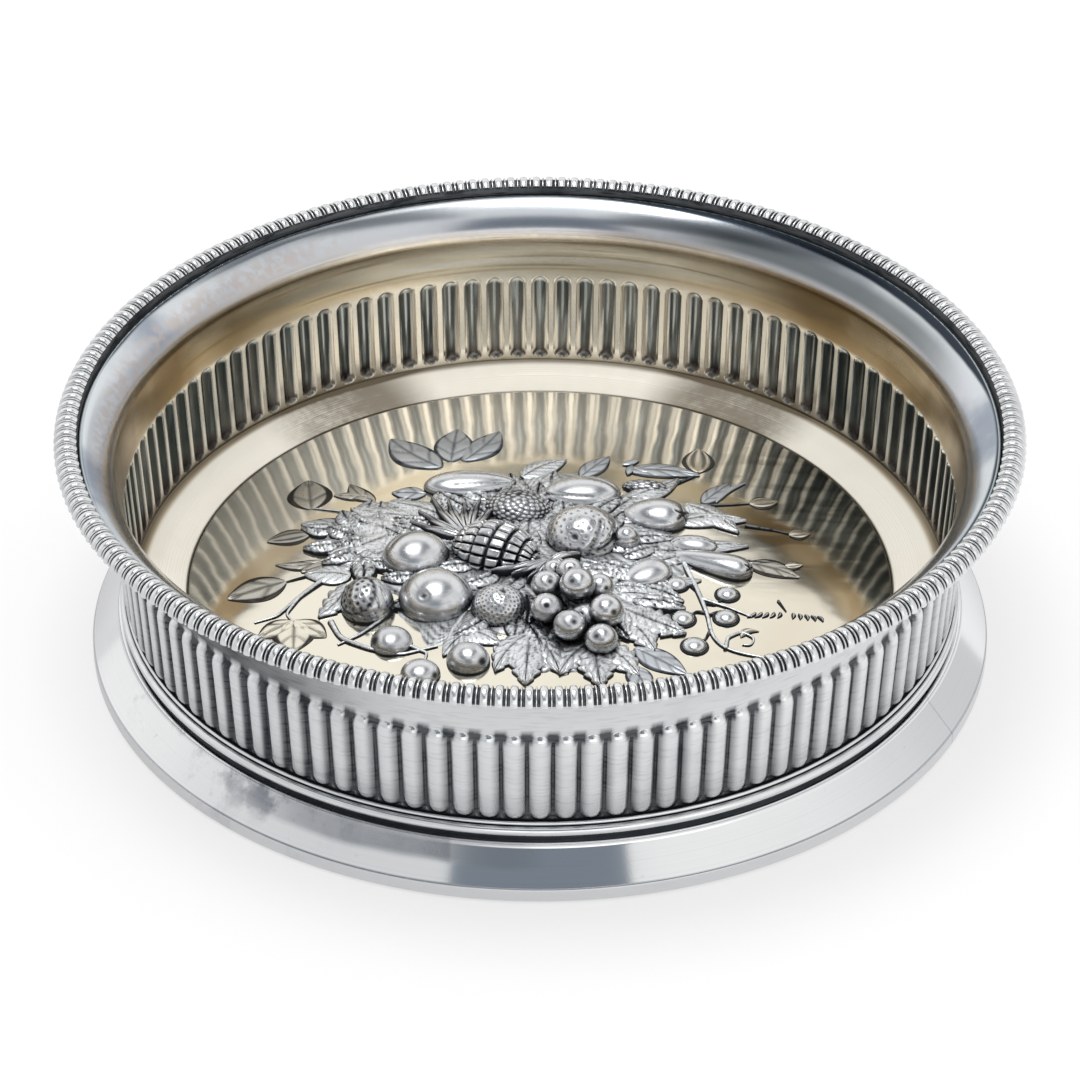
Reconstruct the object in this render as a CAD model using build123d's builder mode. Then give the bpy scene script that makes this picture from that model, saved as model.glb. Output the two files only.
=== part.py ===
from build123d import *
from build123d.topology import SkipClean
from math import atan2, cos, degrees, hypot, radians, sin, sqrt
import os

# Round silver wine bottle coaster: a fluted gallery with a flared lip and a bead-and-reel border,
# standing on a spreading foot, with a gilt floor embossed with fruit over a turned wooden base.
# Millimetres, +Z up, origin on the axis at the underside of the baize.

# Sheet, baize and fits
sheet_gauge = 0.8
baize_thickness = 1.2
baize_proud = 0.4
wood_clearance = 0.15
baize_clearance = 0.3

# Foot wire and spreading skirt
foot_wire_height = 2.2
foot_wire_width = 1.3
foot_ledge_width = 1.4
foot_wire_softening = 0.25
skirt_rise = 4.7
skirt_spread = 4.2
skirt_reveal = 0.1
collar_height = 0.6
shelf_width = 1.8

# Reeded moulding between the foot and the flutes
groove_height = 0.7
groove_neck = 0.7
main_reed_height = 1.6
main_reed_projection = 0.8
fine_reed_height = 0.7
fine_reed_neck = 0.35
fine_reed_projection = 0.35

# Repeats: the border is made as equal sectors and then joined round the ring
sector_count = 12

# Gallery wall
gallery_radius = 64.6
gallery_flare = 1.0
panel_step = 0.07
flute_count = 108
flute_length = 16.0
flute_projection = 0.9
flute_gap = 0.3
flute_margin = 0.15
lip_height = 11.6
lip_spread = 6.54

# Bead-and-reel border
border_width = 4.2
border_overhang = 2.7
reels_per_sector = 18
bead_share = 0.56
reel_share = 0.14
border_groove_depth = 0.35
reel_step = 0.1

# Floor plate
floor_ring_width = 8.2
floor_ring_fall = 1.0
floor_dome_rise = 2.8
leaf_relief = 0.9

# Heights of the seats, from the table up
foot_bottom = baize_proud
skirt_bottom = foot_bottom + foot_wire_height
collar_bottom = skirt_bottom + skirt_rise
shelf_top = collar_bottom + collar_height
moulding_height = groove_height + main_reed_height + fine_reed_height
flute_bottom = shelf_top + moulding_height
flute_top = flute_bottom + flute_length
border_seat = flute_top + lip_height

# Repeats round the ring
sector_arc = 360 / sector_count
flute_arc = 360 / flute_count
reel_count = sector_count * reels_per_sector

# Radii shared by pieces that meet
bore_radius = gallery_radius - sheet_gauge
collar_radius = gallery_radius + shelf_width
skirt_radius = collar_radius + skirt_spread
foot_radius = skirt_radius + skirt_reveal
skirt_slope = skirt_spread / skirt_rise
skirt_thickness = sheet_gauge * sqrt(1 + skirt_slope**2)
wire_bore = foot_radius - foot_wire_width
panel_radius = gallery_radius + panel_step
panel_head_radius = panel_radius + gallery_flare
lip_foot_radius = panel_head_radius / cos(radians(flute_arc / 2)) + panel_step
lip_radius = lip_foot_radius + lip_spread
rim_radius = lip_radius + border_overhang
valley_radius = bore_radius - floor_ring_width
valley_height = flute_bottom - floor_ring_fall
dome_radius = (valley_radius**2 + floor_dome_rise**2) / (2 * floor_dome_rise)


def floor_height(x, y):
    # Height of the plain dome of the floor at a point in plan
    drop = dome_radius - sqrt(dome_radius**2 - x**2 - y**2)
    return valley_height + floor_dome_rise - drop


# Baize disc, the face that rests on the table
with BuildPart() as baize_pad:
    with BuildSketch():
        Circle(wire_bore - foot_ledge_width - baize_clearance)
    extrude(amount=baize_thickness)

# Flat edge wire with a ledge turned in under the wooden base
with BuildPart() as foot_wire:
    with BuildSketch(Plane.XZ) as wire_section:
        with BuildLine():
            Polyline(
                (wire_bore - foot_ledge_width, foot_bottom),
                (foot_radius, foot_bottom),
                (foot_radius, skirt_bottom),
                (wire_bore, skirt_bottom),
                (wire_bore, baize_thickness),
                (wire_bore - foot_ledge_width, baize_thickness),
                close=True,
            )
        make_face()
        fillet(wire_section.vertices().group_by(Axis.X)[-1], foot_wire_softening)
    revolve(axis=Axis.Z)

# Spreading skirt of sheet with its shelf
shelf_bottom = shelf_top - sheet_gauge
skirt_inner_foot = skirt_radius - skirt_thickness
skirt_inner_head = skirt_inner_foot - skirt_slope * (shelf_bottom - skirt_bottom)
with BuildPart() as foot_skirt:
    with BuildSketch(Plane.XZ):
        with BuildLine():
            Polyline(
                (skirt_inner_foot, skirt_bottom),
                (skirt_radius, skirt_bottom),
                (collar_radius, collar_bottom),
                (collar_radius, shelf_top),
                (bore_radius, shelf_top),
                (bore_radius, shelf_bottom),
                (skirt_inner_head, shelf_bottom),
                close=True,
            )
        make_face()
    revolve(axis=Axis.Z)

# Turned wooden base under the floor, resting on the ledge of the foot wire
spigot_top = valley_height - sheet_gauge - wood_clearance
shoulder_height = shelf_bottom - wood_clearance
wood_gap = wood_clearance * sqrt(1 + skirt_slope**2)
with BuildPart() as wood_base:
    with BuildSketch(Plane.XZ):
        with BuildLine():
            Polyline(
                (0, baize_thickness),
                (wire_bore - wood_gap, baize_thickness),
                (wire_bore - wood_gap, skirt_bottom),
                (skirt_inner_foot - wood_gap, skirt_bottom),
                (skirt_inner_head - wood_gap, shoulder_height),
                (bore_radius - wood_clearance, shoulder_height),
                (bore_radius - wood_clearance, spigot_top),
                (0, spigot_top),
                close=True,
            )
        make_face()
    revolve(axis=Axis.Z)

# Reeded moulding round the foot of the wall
groove_top = shelf_top + groove_height
main_reed_top = groove_top + main_reed_height
with BuildPart() as base_moulding:
    with BuildSketch(Plane.XZ):
        with BuildLine():
            Polyline(
                (gallery_radius, flute_bottom),
                (gallery_radius, shelf_top),
                (gallery_radius + groove_neck, shelf_top),
                (gallery_radius + groove_neck, groove_top),
            )
            ThreePointArc(
                (gallery_radius + groove_neck, groove_top),
                (gallery_radius + groove_neck + main_reed_projection, groove_top + main_reed_height / 2),
                (gallery_radius + groove_neck, main_reed_top),
            )
            Line((gallery_radius + groove_neck, main_reed_top), (gallery_radius + fine_reed_neck, main_reed_top))
            ThreePointArc(
                (gallery_radius + fine_reed_neck, main_reed_top),
                (gallery_radius + fine_reed_neck + fine_reed_projection, main_reed_top + fine_reed_height / 2),
                (gallery_radius + fine_reed_neck, flute_bottom),
            )
            Line((gallery_radius + fine_reed_neck, flute_bottom), (gallery_radius, flute_bottom))
        make_face()
    revolve(axis=Axis.Z)

# One flute: a round-ended bulge struck from inside, with its hollow
panel_middle = panel_radius + gallery_flare / 2
flute_width = 2 * panel_middle * sin(radians(flute_arc / 2)) - flute_gap
flute_curve = (flute_width**2 / 4 + flute_projection**2) / (2 * flute_projection)
flute_run = flute_length - 2 * flute_margin - flute_width
flute_hollow = flute_curve - sheet_gauge
flute_sink = flute_projection - flute_curve
flute_plane = Plane(
    origin=(panel_middle, 0, (flute_bottom + flute_top) / 2),
    x_dir=(flute_length, 0, -gallery_flare),
    z_dir=(gallery_flare, 0, flute_length),
)


def flute_form(radius):
    # A round-ended bar along the spine of the flute
    with BuildPart(flute_plane) as bar:
        with Locations((flute_sink, 0, 0)):
            Cylinder(radius, flute_run)
        with Locations((flute_sink, 0, flute_run / 2), (flute_sink, 0, -flute_run / 2)):
            Sphere(radius)
    return bar.part


with BuildPart() as flute_bulge:
    add(flute_form(flute_curve))
    flute_root = Plane(origin=flute_plane.origin - flute_plane.x_dir * sheet_gauge / 3, z_dir=flute_plane.x_dir)
    split(bisect_by=flute_root, keep=Keep.TOP)

# One flat panel of the fluted band with its flute
with BuildPart() as flute_panel:
    with BuildSketch(Plane.XZ):
        with BuildLine():
            Polyline(
                (panel_radius, flute_bottom),
                (panel_head_radius, flute_top),
                (panel_head_radius - sheet_gauge, flute_top),
                (panel_radius - sheet_gauge, flute_bottom),
                close=True,
            )
        make_face()
    extrude(amount=flute_width, both=True)
    split(bisect_by=Plane.XZ.rotated((0, 0, flute_arc / 2)), keep=Keep.TOP)
    split(bisect_by=Plane.XZ.rotated((0, 0, -flute_arc / 2)), keep=Keep.BOTTOM)
    add(flute_bulge.part)
    add(flute_form(flute_hollow), mode=Mode.SUBTRACT)

# Flared lip above the flutes, cut level under the border
with BuildPart() as gallery_lip:
    with BuildSketch(Plane.XZ):
        with BuildLine():
            lip = TangentArc(
                (lip_foot_radius, flute_top),
                (lip_radius, border_seat),
                tangent=(gallery_flare, flute_length),
            )
            Line(lip @ 1, lip @ 1 + (lip % 1) * 2 * sheet_gauge)
            Line(lip @ 0, lip @ 0 - (lip % 0) * 2 * sheet_gauge)
            offset(amount=sheet_gauge, side=Side.LEFT)
        make_face()
    revolve(axis=Axis.Z)
    split(bisect_by=Plane.XY.offset(border_seat), keep=Keep.BOTTOM)
    split(bisect_by=Plane.XY.offset(flute_top), keep=Keep.TOP)

# Gallery wall: plain band behind the moulding, lip, and the ring of fluted panels between them
with SkipClean():
    with BuildPart() as gallery_wall:
        with BuildSketch(Plane.XY.offset(shelf_top)):
            Circle(gallery_radius)
            Circle(bore_radius, mode=Mode.SUBTRACT)
        extrude(amount=flute_bottom - shelf_top)
        add(gallery_lip.part)
        with PolarLocations(0, flute_count):
            add(flute_panel.part)

# Bead-and-reel border: a plain half-round core with beads and narrow reels standing on it
border_radius = rim_radius - border_width / 2
reel_pitch = 360 / reel_count
bead_arc = reel_pitch * bead_share
reel_arc = reel_pitch * reel_share


def border_run(section_radius, arc):
    # A length of half-round wire on the seat, starting from the XZ plane
    with BuildPart() as run:
        with BuildSketch(Plane.XZ):
            with BuildLine():
                Line((border_radius - section_radius, border_seat), (border_radius + section_radius, border_seat))
                ThreePointArc(
                    (border_radius - section_radius, border_seat),
                    (border_radius, border_seat + section_radius),
                    (border_radius + section_radius, border_seat),
                )
            make_face()
        revolve(axis=Axis.Z, revolution_arc=arc)
    return run.part


bead_start = (reel_pitch - bead_arc - reel_arc) / 4
reel_start = 3 * bead_start + bead_arc
with BuildPart() as border_sector:
    add(border_run(border_width / 2 - border_groove_depth, sector_arc))
    with PolarLocations(0, reels_per_sector, bead_start, sector_arc, endpoint=False):
        add(border_run(border_width / 2, bead_arc))
    with PolarLocations(0, reels_per_sector, reel_start, sector_arc, endpoint=False):
        add(border_run(border_width / 2 - reel_step, reel_arc))

with SkipClean():
    with BuildPart() as rim_border:
        with PolarLocations(0, sector_count):
            add(border_sector.part)

# Embossed fruit in plan: x, y, radius, then how much of the radius stands above the floor
round_fruit = [
    (-19.1, 1.0, 5.4, 0.9),
    (-16.4, -10.6, 6.2, 0.88),
    (-26.8, -9.4, 4.6, 0.9),
    (-6.2, -14.4, 4.5, 0.95),
    (-22.9, -20.0, 3.5, 0.85),
    (-18.1, -27.4, 3.2, 0.85),
    (-11.0, -25.2, 3.6, 0.85),
    (7.4, 6.0, 6.2, 0.95),
    (14.0, 4.6, 2.6, 1.2),
    (16.6, -3.2, 3.4, 0.9),
    (-3.6, 15.0, 4.8, 0.85),
    (4.5, -19.0, 2.5, 1.3),
    (9.4, -20.6, 2.5, 1.2),
    (0.8, -14.8, 2.5, 1.4),
    (5.7, -13.2, 2.8, 1.7),
    (0.6, -10.6, 2.4, 1.6),
    (10.3, -15.6, 2.7, 1.4),
    (4.6, -7.4, 2.2, 1.7),
    (9.4, -10.4, 2.2, 1.5),
    (21.4, -5.4, 1.65, 0.8),
    (29.3, -7.5, 1.65, 0.8),
    (22.2, -14.5, 1.75, 0.8),
    (28.9, -13.8, 1.75, 0.8),
    (23.8, -21.4, 1.8, 0.8),
]
# Long fruit: x, y, radius there, radius at the far end, distance between them, direction in degrees
long_fruit = [
    (-8.5, 3.4, 4.9, 4.0, 3.5, -28),
    (3.6, 19.5, 4.6, 4.2, 4.8, 2),
    (-16.0, 22.2, 2.4, 2.9, 10.6, 4),
    (19.8, 13.0, 3.7, 2.6, 5.1, 172),
    (29.9, -0.8, 2.6, 1.6, 8.0, 155),
    (22.8, 5.8, 2.0, 1.7, 3.0, -10),
]
# Leaves: x, y of the stalk end, x, y of the tip, width
leaves = [
    (12.6, -12.4, 22.8, -18.6, 7.8),
    (12.5, -14.5, 17.7, -23.2, 6.0),
    (12.0, -8.5, 20.8, -11.0, 4.6),
    (-1.5, -19.2, -2.3, -32.0, 7.0),
    (-1.5, -19.2, -7.0, -28.6, 5.6),
    (-1.5, -19.2, 3.0, -29.0, 5.6),
    (8.2, -21.2, 9.2, -32.2, 7.2),
    (8.2, -21.2, 2.9, -29.4, 5.6),
    (8.2, -21.2, 15.2, -29.6, 6.0),
    (-22.0, 10.0, -33.8, 3.6, 6.6),
    (-21.5, 8.0, -33.0, 13.4, 7.0),
    (-14.0, 12.0, -24.6, 18.4, 5.4),
    (-11.0, 5.6, -17.4, 18.6, 4.0),
    (-11.0, 5.6, -12.0, 16.6, 4.0),
    (23.2, 17.8, 31.8, 9.8, 5.0),
    (21.5, 12.0, 33.2, 13.6, 4.6),
    (14.0, 19.0, 22.6, 25.6, 4.6),
    (-3.0, 25.0, 4.4, 31.0, 5.0),
    (-30.2, -4.8, -34.6, -13.4, 5.4),
    (-29.6, -2.6, -37.2, -1.6, 5.4),
    (-16.0, 29.0, -24.6, 39.4, 7.0),
    (-14.5, 31.0, -13.6, 42.0, 6.6),
    (13.8, 28.2, 26.2, 27.2, 4.6),
    (-36.7, 17.6, -37.6, 27.0, 7.4),
    (-39.8, -2.8, -49.2, -6.6, 6.8),
    (-38.2, -13.2, -38.0, -21.8, 7.0),
]


def round_boss(x, y, radius, stand):
    with BuildPart() as boss:
        with Locations((x, y, floor_height(x, y) + radius * (stand - 1))):
            Sphere(radius)
    return boss.part


def long_boss(x, y, big, small, span, turn):
    # A pear or gourd lying on the floor: the hull of two circles, turned round its own long axis
    level = floor_height(x, y)
    with BuildPart() as boss:
        with BuildSketch(Plane((x, y, level)).rotated((0, 0, turn))) as outline:
            Circle(big)
            with Locations((span, 0)):
                Circle(small)
            make_hull()
            split(bisect_by=Plane.XZ)
        revolve(axis=Axis((x, y, level), (cos(radians(turn)), sin(radians(turn)), 0)))
    return boss.part


def leaf_blade(length, width):
    with BuildSketch() as blade:
        with BuildLine():
            ThreePointArc((0, 0), (length * 0.45, width / 2), (length, 0))
            ThreePointArc((0, 0), (length * 0.45, -width / 2), (length, 0))
        make_face()
    return blade.sketch


with BuildPart() as foliage:
    with BuildSketch():
        for x, y, tip_x, tip_y, width in leaves:
            turn = degrees(atan2(tip_y - y, tip_x - x))
            with Locations(Location((x, y, 0), (0, 0, turn))):
                add(leaf_blade(hypot(tip_x - x, tip_y - y), width))
    extrude(amount=flute_top)
    with BuildSketch(Plane.XZ):
        with BuildLine():
            floor_crown = (0, valley_height + floor_dome_rise + leaf_relief)
            Line((0, valley_height - floor_dome_rise), floor_crown)
            RadiusArc(floor_crown, (valley_radius, valley_height + leaf_relief), dome_radius)
            Polyline(
                (valley_radius, valley_height + leaf_relief),
                (valley_radius, valley_height - floor_dome_rise),
                (0, valley_height - floor_dome_rise),
            )
        make_face()
    revolve(axis=Axis.Z, mode=Mode.INTERSECT)


def floor_line(drop):
    # The floor in half section: the level edge, the sloping ring and the dome, lowered by drop
    with BuildLine() as line:
        Line((bore_radius, flute_bottom - drop), (valley_radius, valley_height - drop))
        RadiusArc((valley_radius, valley_height - drop), (0, valley_height + floor_dome_rise - drop), -dome_radius)
    return line.line


# Floor plate with its fruit; everything below the sheet is cut away
with BuildPart() as floor_plate:
    with BuildSketch(Plane.XZ):
        with BuildLine():
            add(floor_line(0))
            add(floor_line(sheet_gauge))
            Line((bore_radius, flute_bottom), (bore_radius, flute_bottom - sheet_gauge))
            Line(
                (0, valley_height + floor_dome_rise),
                (0, valley_height + floor_dome_rise - sheet_gauge),
            )
        make_face()
    revolve(axis=Axis.Z)
    add([round_boss(*fruit) for fruit in round_fruit] + [long_boss(*fruit) for fruit in long_fruit] + [foliage.part])
    with BuildSketch(Plane.XZ):
        with BuildLine():
            add(floor_line(sheet_gauge))
            Polyline(
                (bore_radius, flute_bottom - sheet_gauge),
                (bore_radius, -foot_bottom),
                (0, -foot_bottom),
                (0, valley_height + floor_dome_rise - sheet_gauge),
            )
        make_face()
    revolve(axis=Axis.Z, mode=Mode.SUBTRACT)

# Each piece goes to its own file
pieces = {
    "rim_border": rim_border,
    "gallery_wall": gallery_wall,
    "base_moulding": base_moulding,
    "foot_skirt": foot_skirt,
    "foot_wire": foot_wire,
    "floor_plate": floor_plate,
    "wood_base": wood_base,
    "baize_pad": baize_pad,
}
os.makedirs("parts", exist_ok=True)
for name, piece in pieces.items():
    piece.part.label = name
    export_step(piece.part, f"parts/{name}.step")
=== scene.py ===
from math import cos, pi, radians, sin, sqrt

import bpy
import numpy as np
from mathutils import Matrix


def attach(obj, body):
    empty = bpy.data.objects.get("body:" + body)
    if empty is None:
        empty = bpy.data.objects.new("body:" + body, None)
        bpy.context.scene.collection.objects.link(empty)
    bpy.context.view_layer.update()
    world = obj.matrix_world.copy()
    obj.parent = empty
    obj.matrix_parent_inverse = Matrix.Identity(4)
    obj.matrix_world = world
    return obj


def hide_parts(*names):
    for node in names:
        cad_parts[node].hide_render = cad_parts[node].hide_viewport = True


# Silver bottle coaster: fluted gallery, bead-and-reel rim, gilt floor with embossed fruit.
# Sizes below are millimetres in the CAD frame; meshes are written in metres.

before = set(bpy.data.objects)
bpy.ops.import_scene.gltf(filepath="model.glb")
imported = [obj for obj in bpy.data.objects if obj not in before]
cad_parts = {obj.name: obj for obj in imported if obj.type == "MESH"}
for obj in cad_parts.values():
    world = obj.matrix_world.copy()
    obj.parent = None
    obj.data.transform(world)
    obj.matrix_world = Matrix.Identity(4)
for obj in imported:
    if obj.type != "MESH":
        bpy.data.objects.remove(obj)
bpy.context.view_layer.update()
mm = 0.001
print("frame loaded", sorted(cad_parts))


# Shader maths

class Wire:
    # a socket with arithmetic: each operation adds one Math node to the same tree
    def __init__(self, finish, socket):
        self.finish = finish
        self.socket = socket

    def maths(self, operation, a, b=0.0):
        return self.finish.node("ShaderNodeMath", {"operation": operation}, {0: a, 1: b})

    def __add__(self, other):
        return self.maths("ADD", self, other)

    def __radd__(self, other):
        return self.maths("ADD", other, self)

    def __sub__(self, other):
        return self.maths("SUBTRACT", self, other)

    def __rsub__(self, other):
        return self.maths("SUBTRACT", other, self)

    def __mul__(self, other):
        return self.maths("MULTIPLY", self, other)

    def __rmul__(self, other):
        return self.maths("MULTIPLY", other, self)

    def __truediv__(self, other):
        return self.maths("DIVIDE", self, other)

    def __pow__(self, other):
        return self.maths("POWER", self, other)

    def __gt__(self, other):
        return self.maths("GREATER_THAN", self, other)

    def __lt__(self, other):
        return self.maths("LESS_THAN", self, other)

    def __abs__(self):
        return self.maths("ABSOLUTE", self)

    def larger(self, other):
        return self.maths("MAXIMUM", self, other)


class Finish:
    # a node tree that is written as expressions; a colour is three numbers
    def __init__(self, tree):
        self.tree = tree
        self.tree.nodes.clear()

    def node(self, kind, settings=None, inputs=None, out=0):
        made = self.tree.nodes.new(kind)
        for key, value in (settings or {}).items():
            if key == "stops":
                ramp = made.color_ramp.elements
                for index, (position, tint) in enumerate(value):
                    stop = ramp[index] if index < 2 else ramp.new(position)
                    stop.position = position
                    stop.color = (*tint, 1.0)
            else:
                setattr(made, key, value)
        for key, value in (inputs or {}).items():
            socket = made.inputs[key]
            if isinstance(value, Wire):
                self.tree.links.new(value.socket, socket)
            else:
                socket.default_value = (*value, 1.0) if socket.type == "RGBA" else value
        return Wire(self, made.outputs[out]) if made.outputs else None

    def step(self, value, low, high):
        # smooth rise from 0 at low to 1 at high; where low is the larger of the two, a fall
        return self.node("ShaderNodeMapRange", {"interpolation_type": "SMOOTHSTEP"},
                         {"Value": value, "From Min": low, "From Max": high})

    def between(self, value, low, full, fade, high):
        # smooth rise from low to full, then a smooth fall from fade to high
        return self.step(value, low, full) * self.step(value, high, fade)

    def spot(self, x, y, centre, reach):
        # 1 round a point seen from above, 0 beyond its reach
        alongX, alongY = x - centre[0], y - centre[1]
        return self.step((alongX * alongX + alongY * alongY) ** 0.5, reach, reach * 0.4)

    def blend(self, factor, a, b):
        settings = {"data_type": "RGBA"}
        return self.node("ShaderNodeMix", settings, {"Factor": factor, "A": a, "B": b}, out=2)

    def held(self, value):
        # kept between 0 and 1
        return self.node("ShaderNodeClamp", None, {"Value": value})

    def noise(self, vector, scale, detail=3.0, rough=0.5):
        return self.node("ShaderNodeTexNoise", None,
                         {"Vector": vector, "Scale": scale, "Detail": detail, "Roughness": rough})

    def streaked(self, place, scale, detail=2.0, rough=0.5):
        # noise with its own scale along each axis
        return self.noise(self.node("ShaderNodeMapping", None, {"Vector": place, "Scale": scale}),
                          1.0, detail, rough)

    def turnedLines(self, reach, scale):
        # fine rings about the axis, as a lathe leaves them
        return self.noise(self.node("ShaderNodeCombineXYZ", None, {0: reach}), scale, 2.0)

    def place(self):
        return self.node("ShaderNodeTexCoord", None, None, out=3)

    def measured(self):
        # the piece's own coordinates, then millimetres along x, y and z and out from the axis
        place = self.place()
        x, y, z = (self.node("ShaderNodeSeparateXYZ", None, {0: place}, out=k) * (1 / mm) for k in range(3))
        return place, x, y, z, (x * x + y * y) ** 0.5

    def painted(self):
        # the dark value stored at the points of a mesh
        return self.node("ShaderNodeAttribute", {"attribute_name": "dark"}, None, out=2)

    def bump(self, height, strength, distance, normal=None):
        sockets = {"Strength": strength, "Distance": distance, "Height": height}
        if normal is not None:
            sockets["Normal"] = normal
        return self.node("ShaderNodeBump", None, sockets)

    def close(self, sockets):
        shader = self.node("ShaderNodeBsdfPrincipled", None, sockets)
        self.node("ShaderNodeOutputMaterial", None, {"Surface": shader})


def newFinish(name):
    material = bpy.data.materials.new(name)
    material.use_nodes = True
    return material, Finish(material.node_tree)


# Metals: bright silver or pale gilding that darkens in the hollows, with fine wiping scratches.
# In every look, a pair named for an edge is where a tone starts and where it is full.

silverLook = {
    "clean": (0.84, 0.85, 0.86), "oxide": (0.04, 0.045, 0.052), "rough": 0.13, "roughVary": 0.10,
    "sootRough": 0.35, "wipeRough": 0.05, "cloudScale": 90.0, "fineScale": 2600.0,
    "wipeScale": (260.0, 260.0, 2400.0), "hollowReach": 0.0016, "hollowEdge": (0.28, 0.90),
    "hollow": 0.85, "chased": 0.9, "stain": 0.10, "cloudEdge": (0.52, 0.75), "wipeEdge": (0.48, 0.70),
    "scratch": 0.12, "scratchDepth": 0.00002, "fineRelief": 0.35, "wipeRelief": 0.8, "hatch": 0.0,
    "hollowHatch": 0.0, "strokesAlong": (420.0, 2300.0, 1200.0), "strokesAcross": (2300.0, 420.0, 1200.0),
    "patchEdge": (0.46, 0.54), "strokeEdge": (0.49, 0.60)}
satinLook = dict(silverLook, clean=(0.75, 0.76, 0.78), oxide=(0.04, 0.043, 0.05), rough=0.25, roughVary=0.12,
                 hollowReach=0.0035, hollowEdge=(0.22, 0.85), hollow=0.92, chased=0.95, stain=0.16,
                 hatch=0.02, hollowHatch=0.8)
leafLook = dict(satinLook, clean=(0.92, 0.94, 0.96), rough=0.28, hatch=0.22, hollowHatch=0.3)
frostedLook = dict(silverLook, clean=(0.60, 0.63, 0.67), rough=0.36, scratch=0.5, stain=0.2)
chasedGreyLook = dict(silverLook, clean=(0.56, 0.54, 0.49), oxide=(0.05, 0.045, 0.04), rough=0.26, chased=1.0)
chasedGiltLook = dict(chasedGreyLook, clean=(0.86, 0.81, 0.69), rough=0.13)


def metalFinish(name, look):
    material, f = newFinish(name)
    place = f.place()
    cloud = f.noise(place, look["cloudScale"], 4.0)
    fine = f.noise(place, look["fineScale"], 2.0)
    wipes = f.streaked(place, look["wipeScale"])
    openness = f.node("ShaderNodeAmbientOcclusion", {"samples": 8}, {"Distance": look["hollowReach"]}, out=1)
    hollow = f.step(1.0 - openness, *look["hollowEdge"])
    stain = (f.step(cloud, *look["cloudEdge"]) + f.step(wipes, *look["wipeEdge"])) * look["stain"]
    if look["hatch"] > 0:
        # short chased strokes lying one way or the other in patches, thicker in the hollows
        along = f.streaked(place, look["strokesAlong"])
        across = f.streaked(place, look["strokesAcross"])
        lie = along + (across - along) * f.step(cloud, *look["patchEdge"])
        stain = stain + f.step(lie, *look["strokeEdge"]) * (look["hatch"] + hollow * look["hollowHatch"])
    # the dark value stored on a mesh holds its chased marks and patina, and on some pieces painted shade
    sootAndShade = f.held(hollow * look["hollow"] + f.painted() * look["chased"] + stain)
    rough = look["rough"] + (cloud - 0.5) * look["roughVary"] + sootAndShade * look["sootRough"]
    rough = rough + (wipes - 0.5) * look["wipeRough"]
    relief = (fine - 0.5) * look["fineRelief"] + (wipes - 0.5) * look["wipeRelief"]
    f.close({"Base Color": f.blend(sootAndShade, look["clean"], look["oxide"]), "Metallic": 1.0, "Roughness": rough,
             "Normal": f.bump(relief, look["scratch"], look["scratchDepth"])})
    return material


silver = metalFinish("polishedSilver", silverLook)
borderSilver = metalFinish("borderSilver", dict(silverLook, rough=0.25))
satin = metalFinish("satinSilver", satinLook)
chased = metalFinish("chasedSilver", leafLook)
frosted = metalFinish("frostedSilver", frostedLook)
chasedGrey = metalFinish("chasedGrey", chasedGreyLook)
chasedGilt = metalFinish("chasedGilding", chasedGiltLook)

# Inner wall: gilding worn brown above the flutes, tarnished silver on the flare, a black line under the
# border; its bands of tone are partly painted reflection and shade. Bands and zones are shares of its height;
# edges in x and y are millimetres.

innerLook = {
    "bottom": 10.4, "top": 38.9, "bands": [
        (0.00, (0.16, 0.13, 0.08)), (0.03, (0.45, 0.41, 0.34)), (0.10, (0.98, 0.93, 0.85)),
        (0.50, (0.98, 0.92, 0.83)), (0.555, (0.98, 0.93, 0.83)), (0.58, (0.90, 0.82, 0.68)),
        (0.61, (0.82, 0.70, 0.49)), (0.66, (1.00, 0.88, 0.64)), (0.74, (1.00, 0.90, 0.69)),
        (0.80, (0.86, 0.75, 0.56)), (0.835, (0.50, 0.47, 0.44)), (0.87, (0.60, 0.61, 0.64)),
        (0.93, (0.70, 0.73, 0.77)), (0.985, (0.70, 0.74, 0.77))],
    "hollow": (0.055, 0.066, 0.07), "far": (0.035, 0.045, 0.045), "pool": (0.022, 0.018, 0.018),
    "streak": (0.56, 0.64, 0.69), "pale": (0.98, 0.92, 0.81), "amber": (0.27, 0.185, 0.09),
    "blue": (0.31, 0.35, 0.42), "dusk": (0.15, 0.17, 0.175), "peach": (0.60, 0.51, 0.46),
    "black": (0.035, 0.045, 0.06), "rough": 0.14, "cloudScale": 45.0, "fineScale": 700.0,
    "wipeScale": (25.0, 25.0, 1500.0), "streakScale": (1000.0, 1000.0, 70.0),
    "giltZone": (0.58, 0.64, 0.82, 0.86), "brownZone": (0.54, 0.58, 0.80, 0.845),
    "flareZone": (0.84, 0.88, 0.92, 0.98), "fluteEdge": (0.56, 0.52), "bloomEdge": (0.83, 0.90),
    "blackEdge": (0.80, 0.85), "poolEdge": (0.15, 0.08), "gleamEdge": (0.15, 0.3),
    "sideY": (62.0, 38.0), "farY": (50.0, 20.0), "farX": (0.0, 30.0), "brownY": (66.0, 42.0),
    "bloomY": (62.0, 30.0), "duskX": (16.0, 34.0), "duskY": (10.0, 34.0), "peachX": (-25.0, -45.0),
    "blackFrom": 69.2, "blackX": (40.0, 5.0), "blackY": (26.0, 6.0)}


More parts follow.
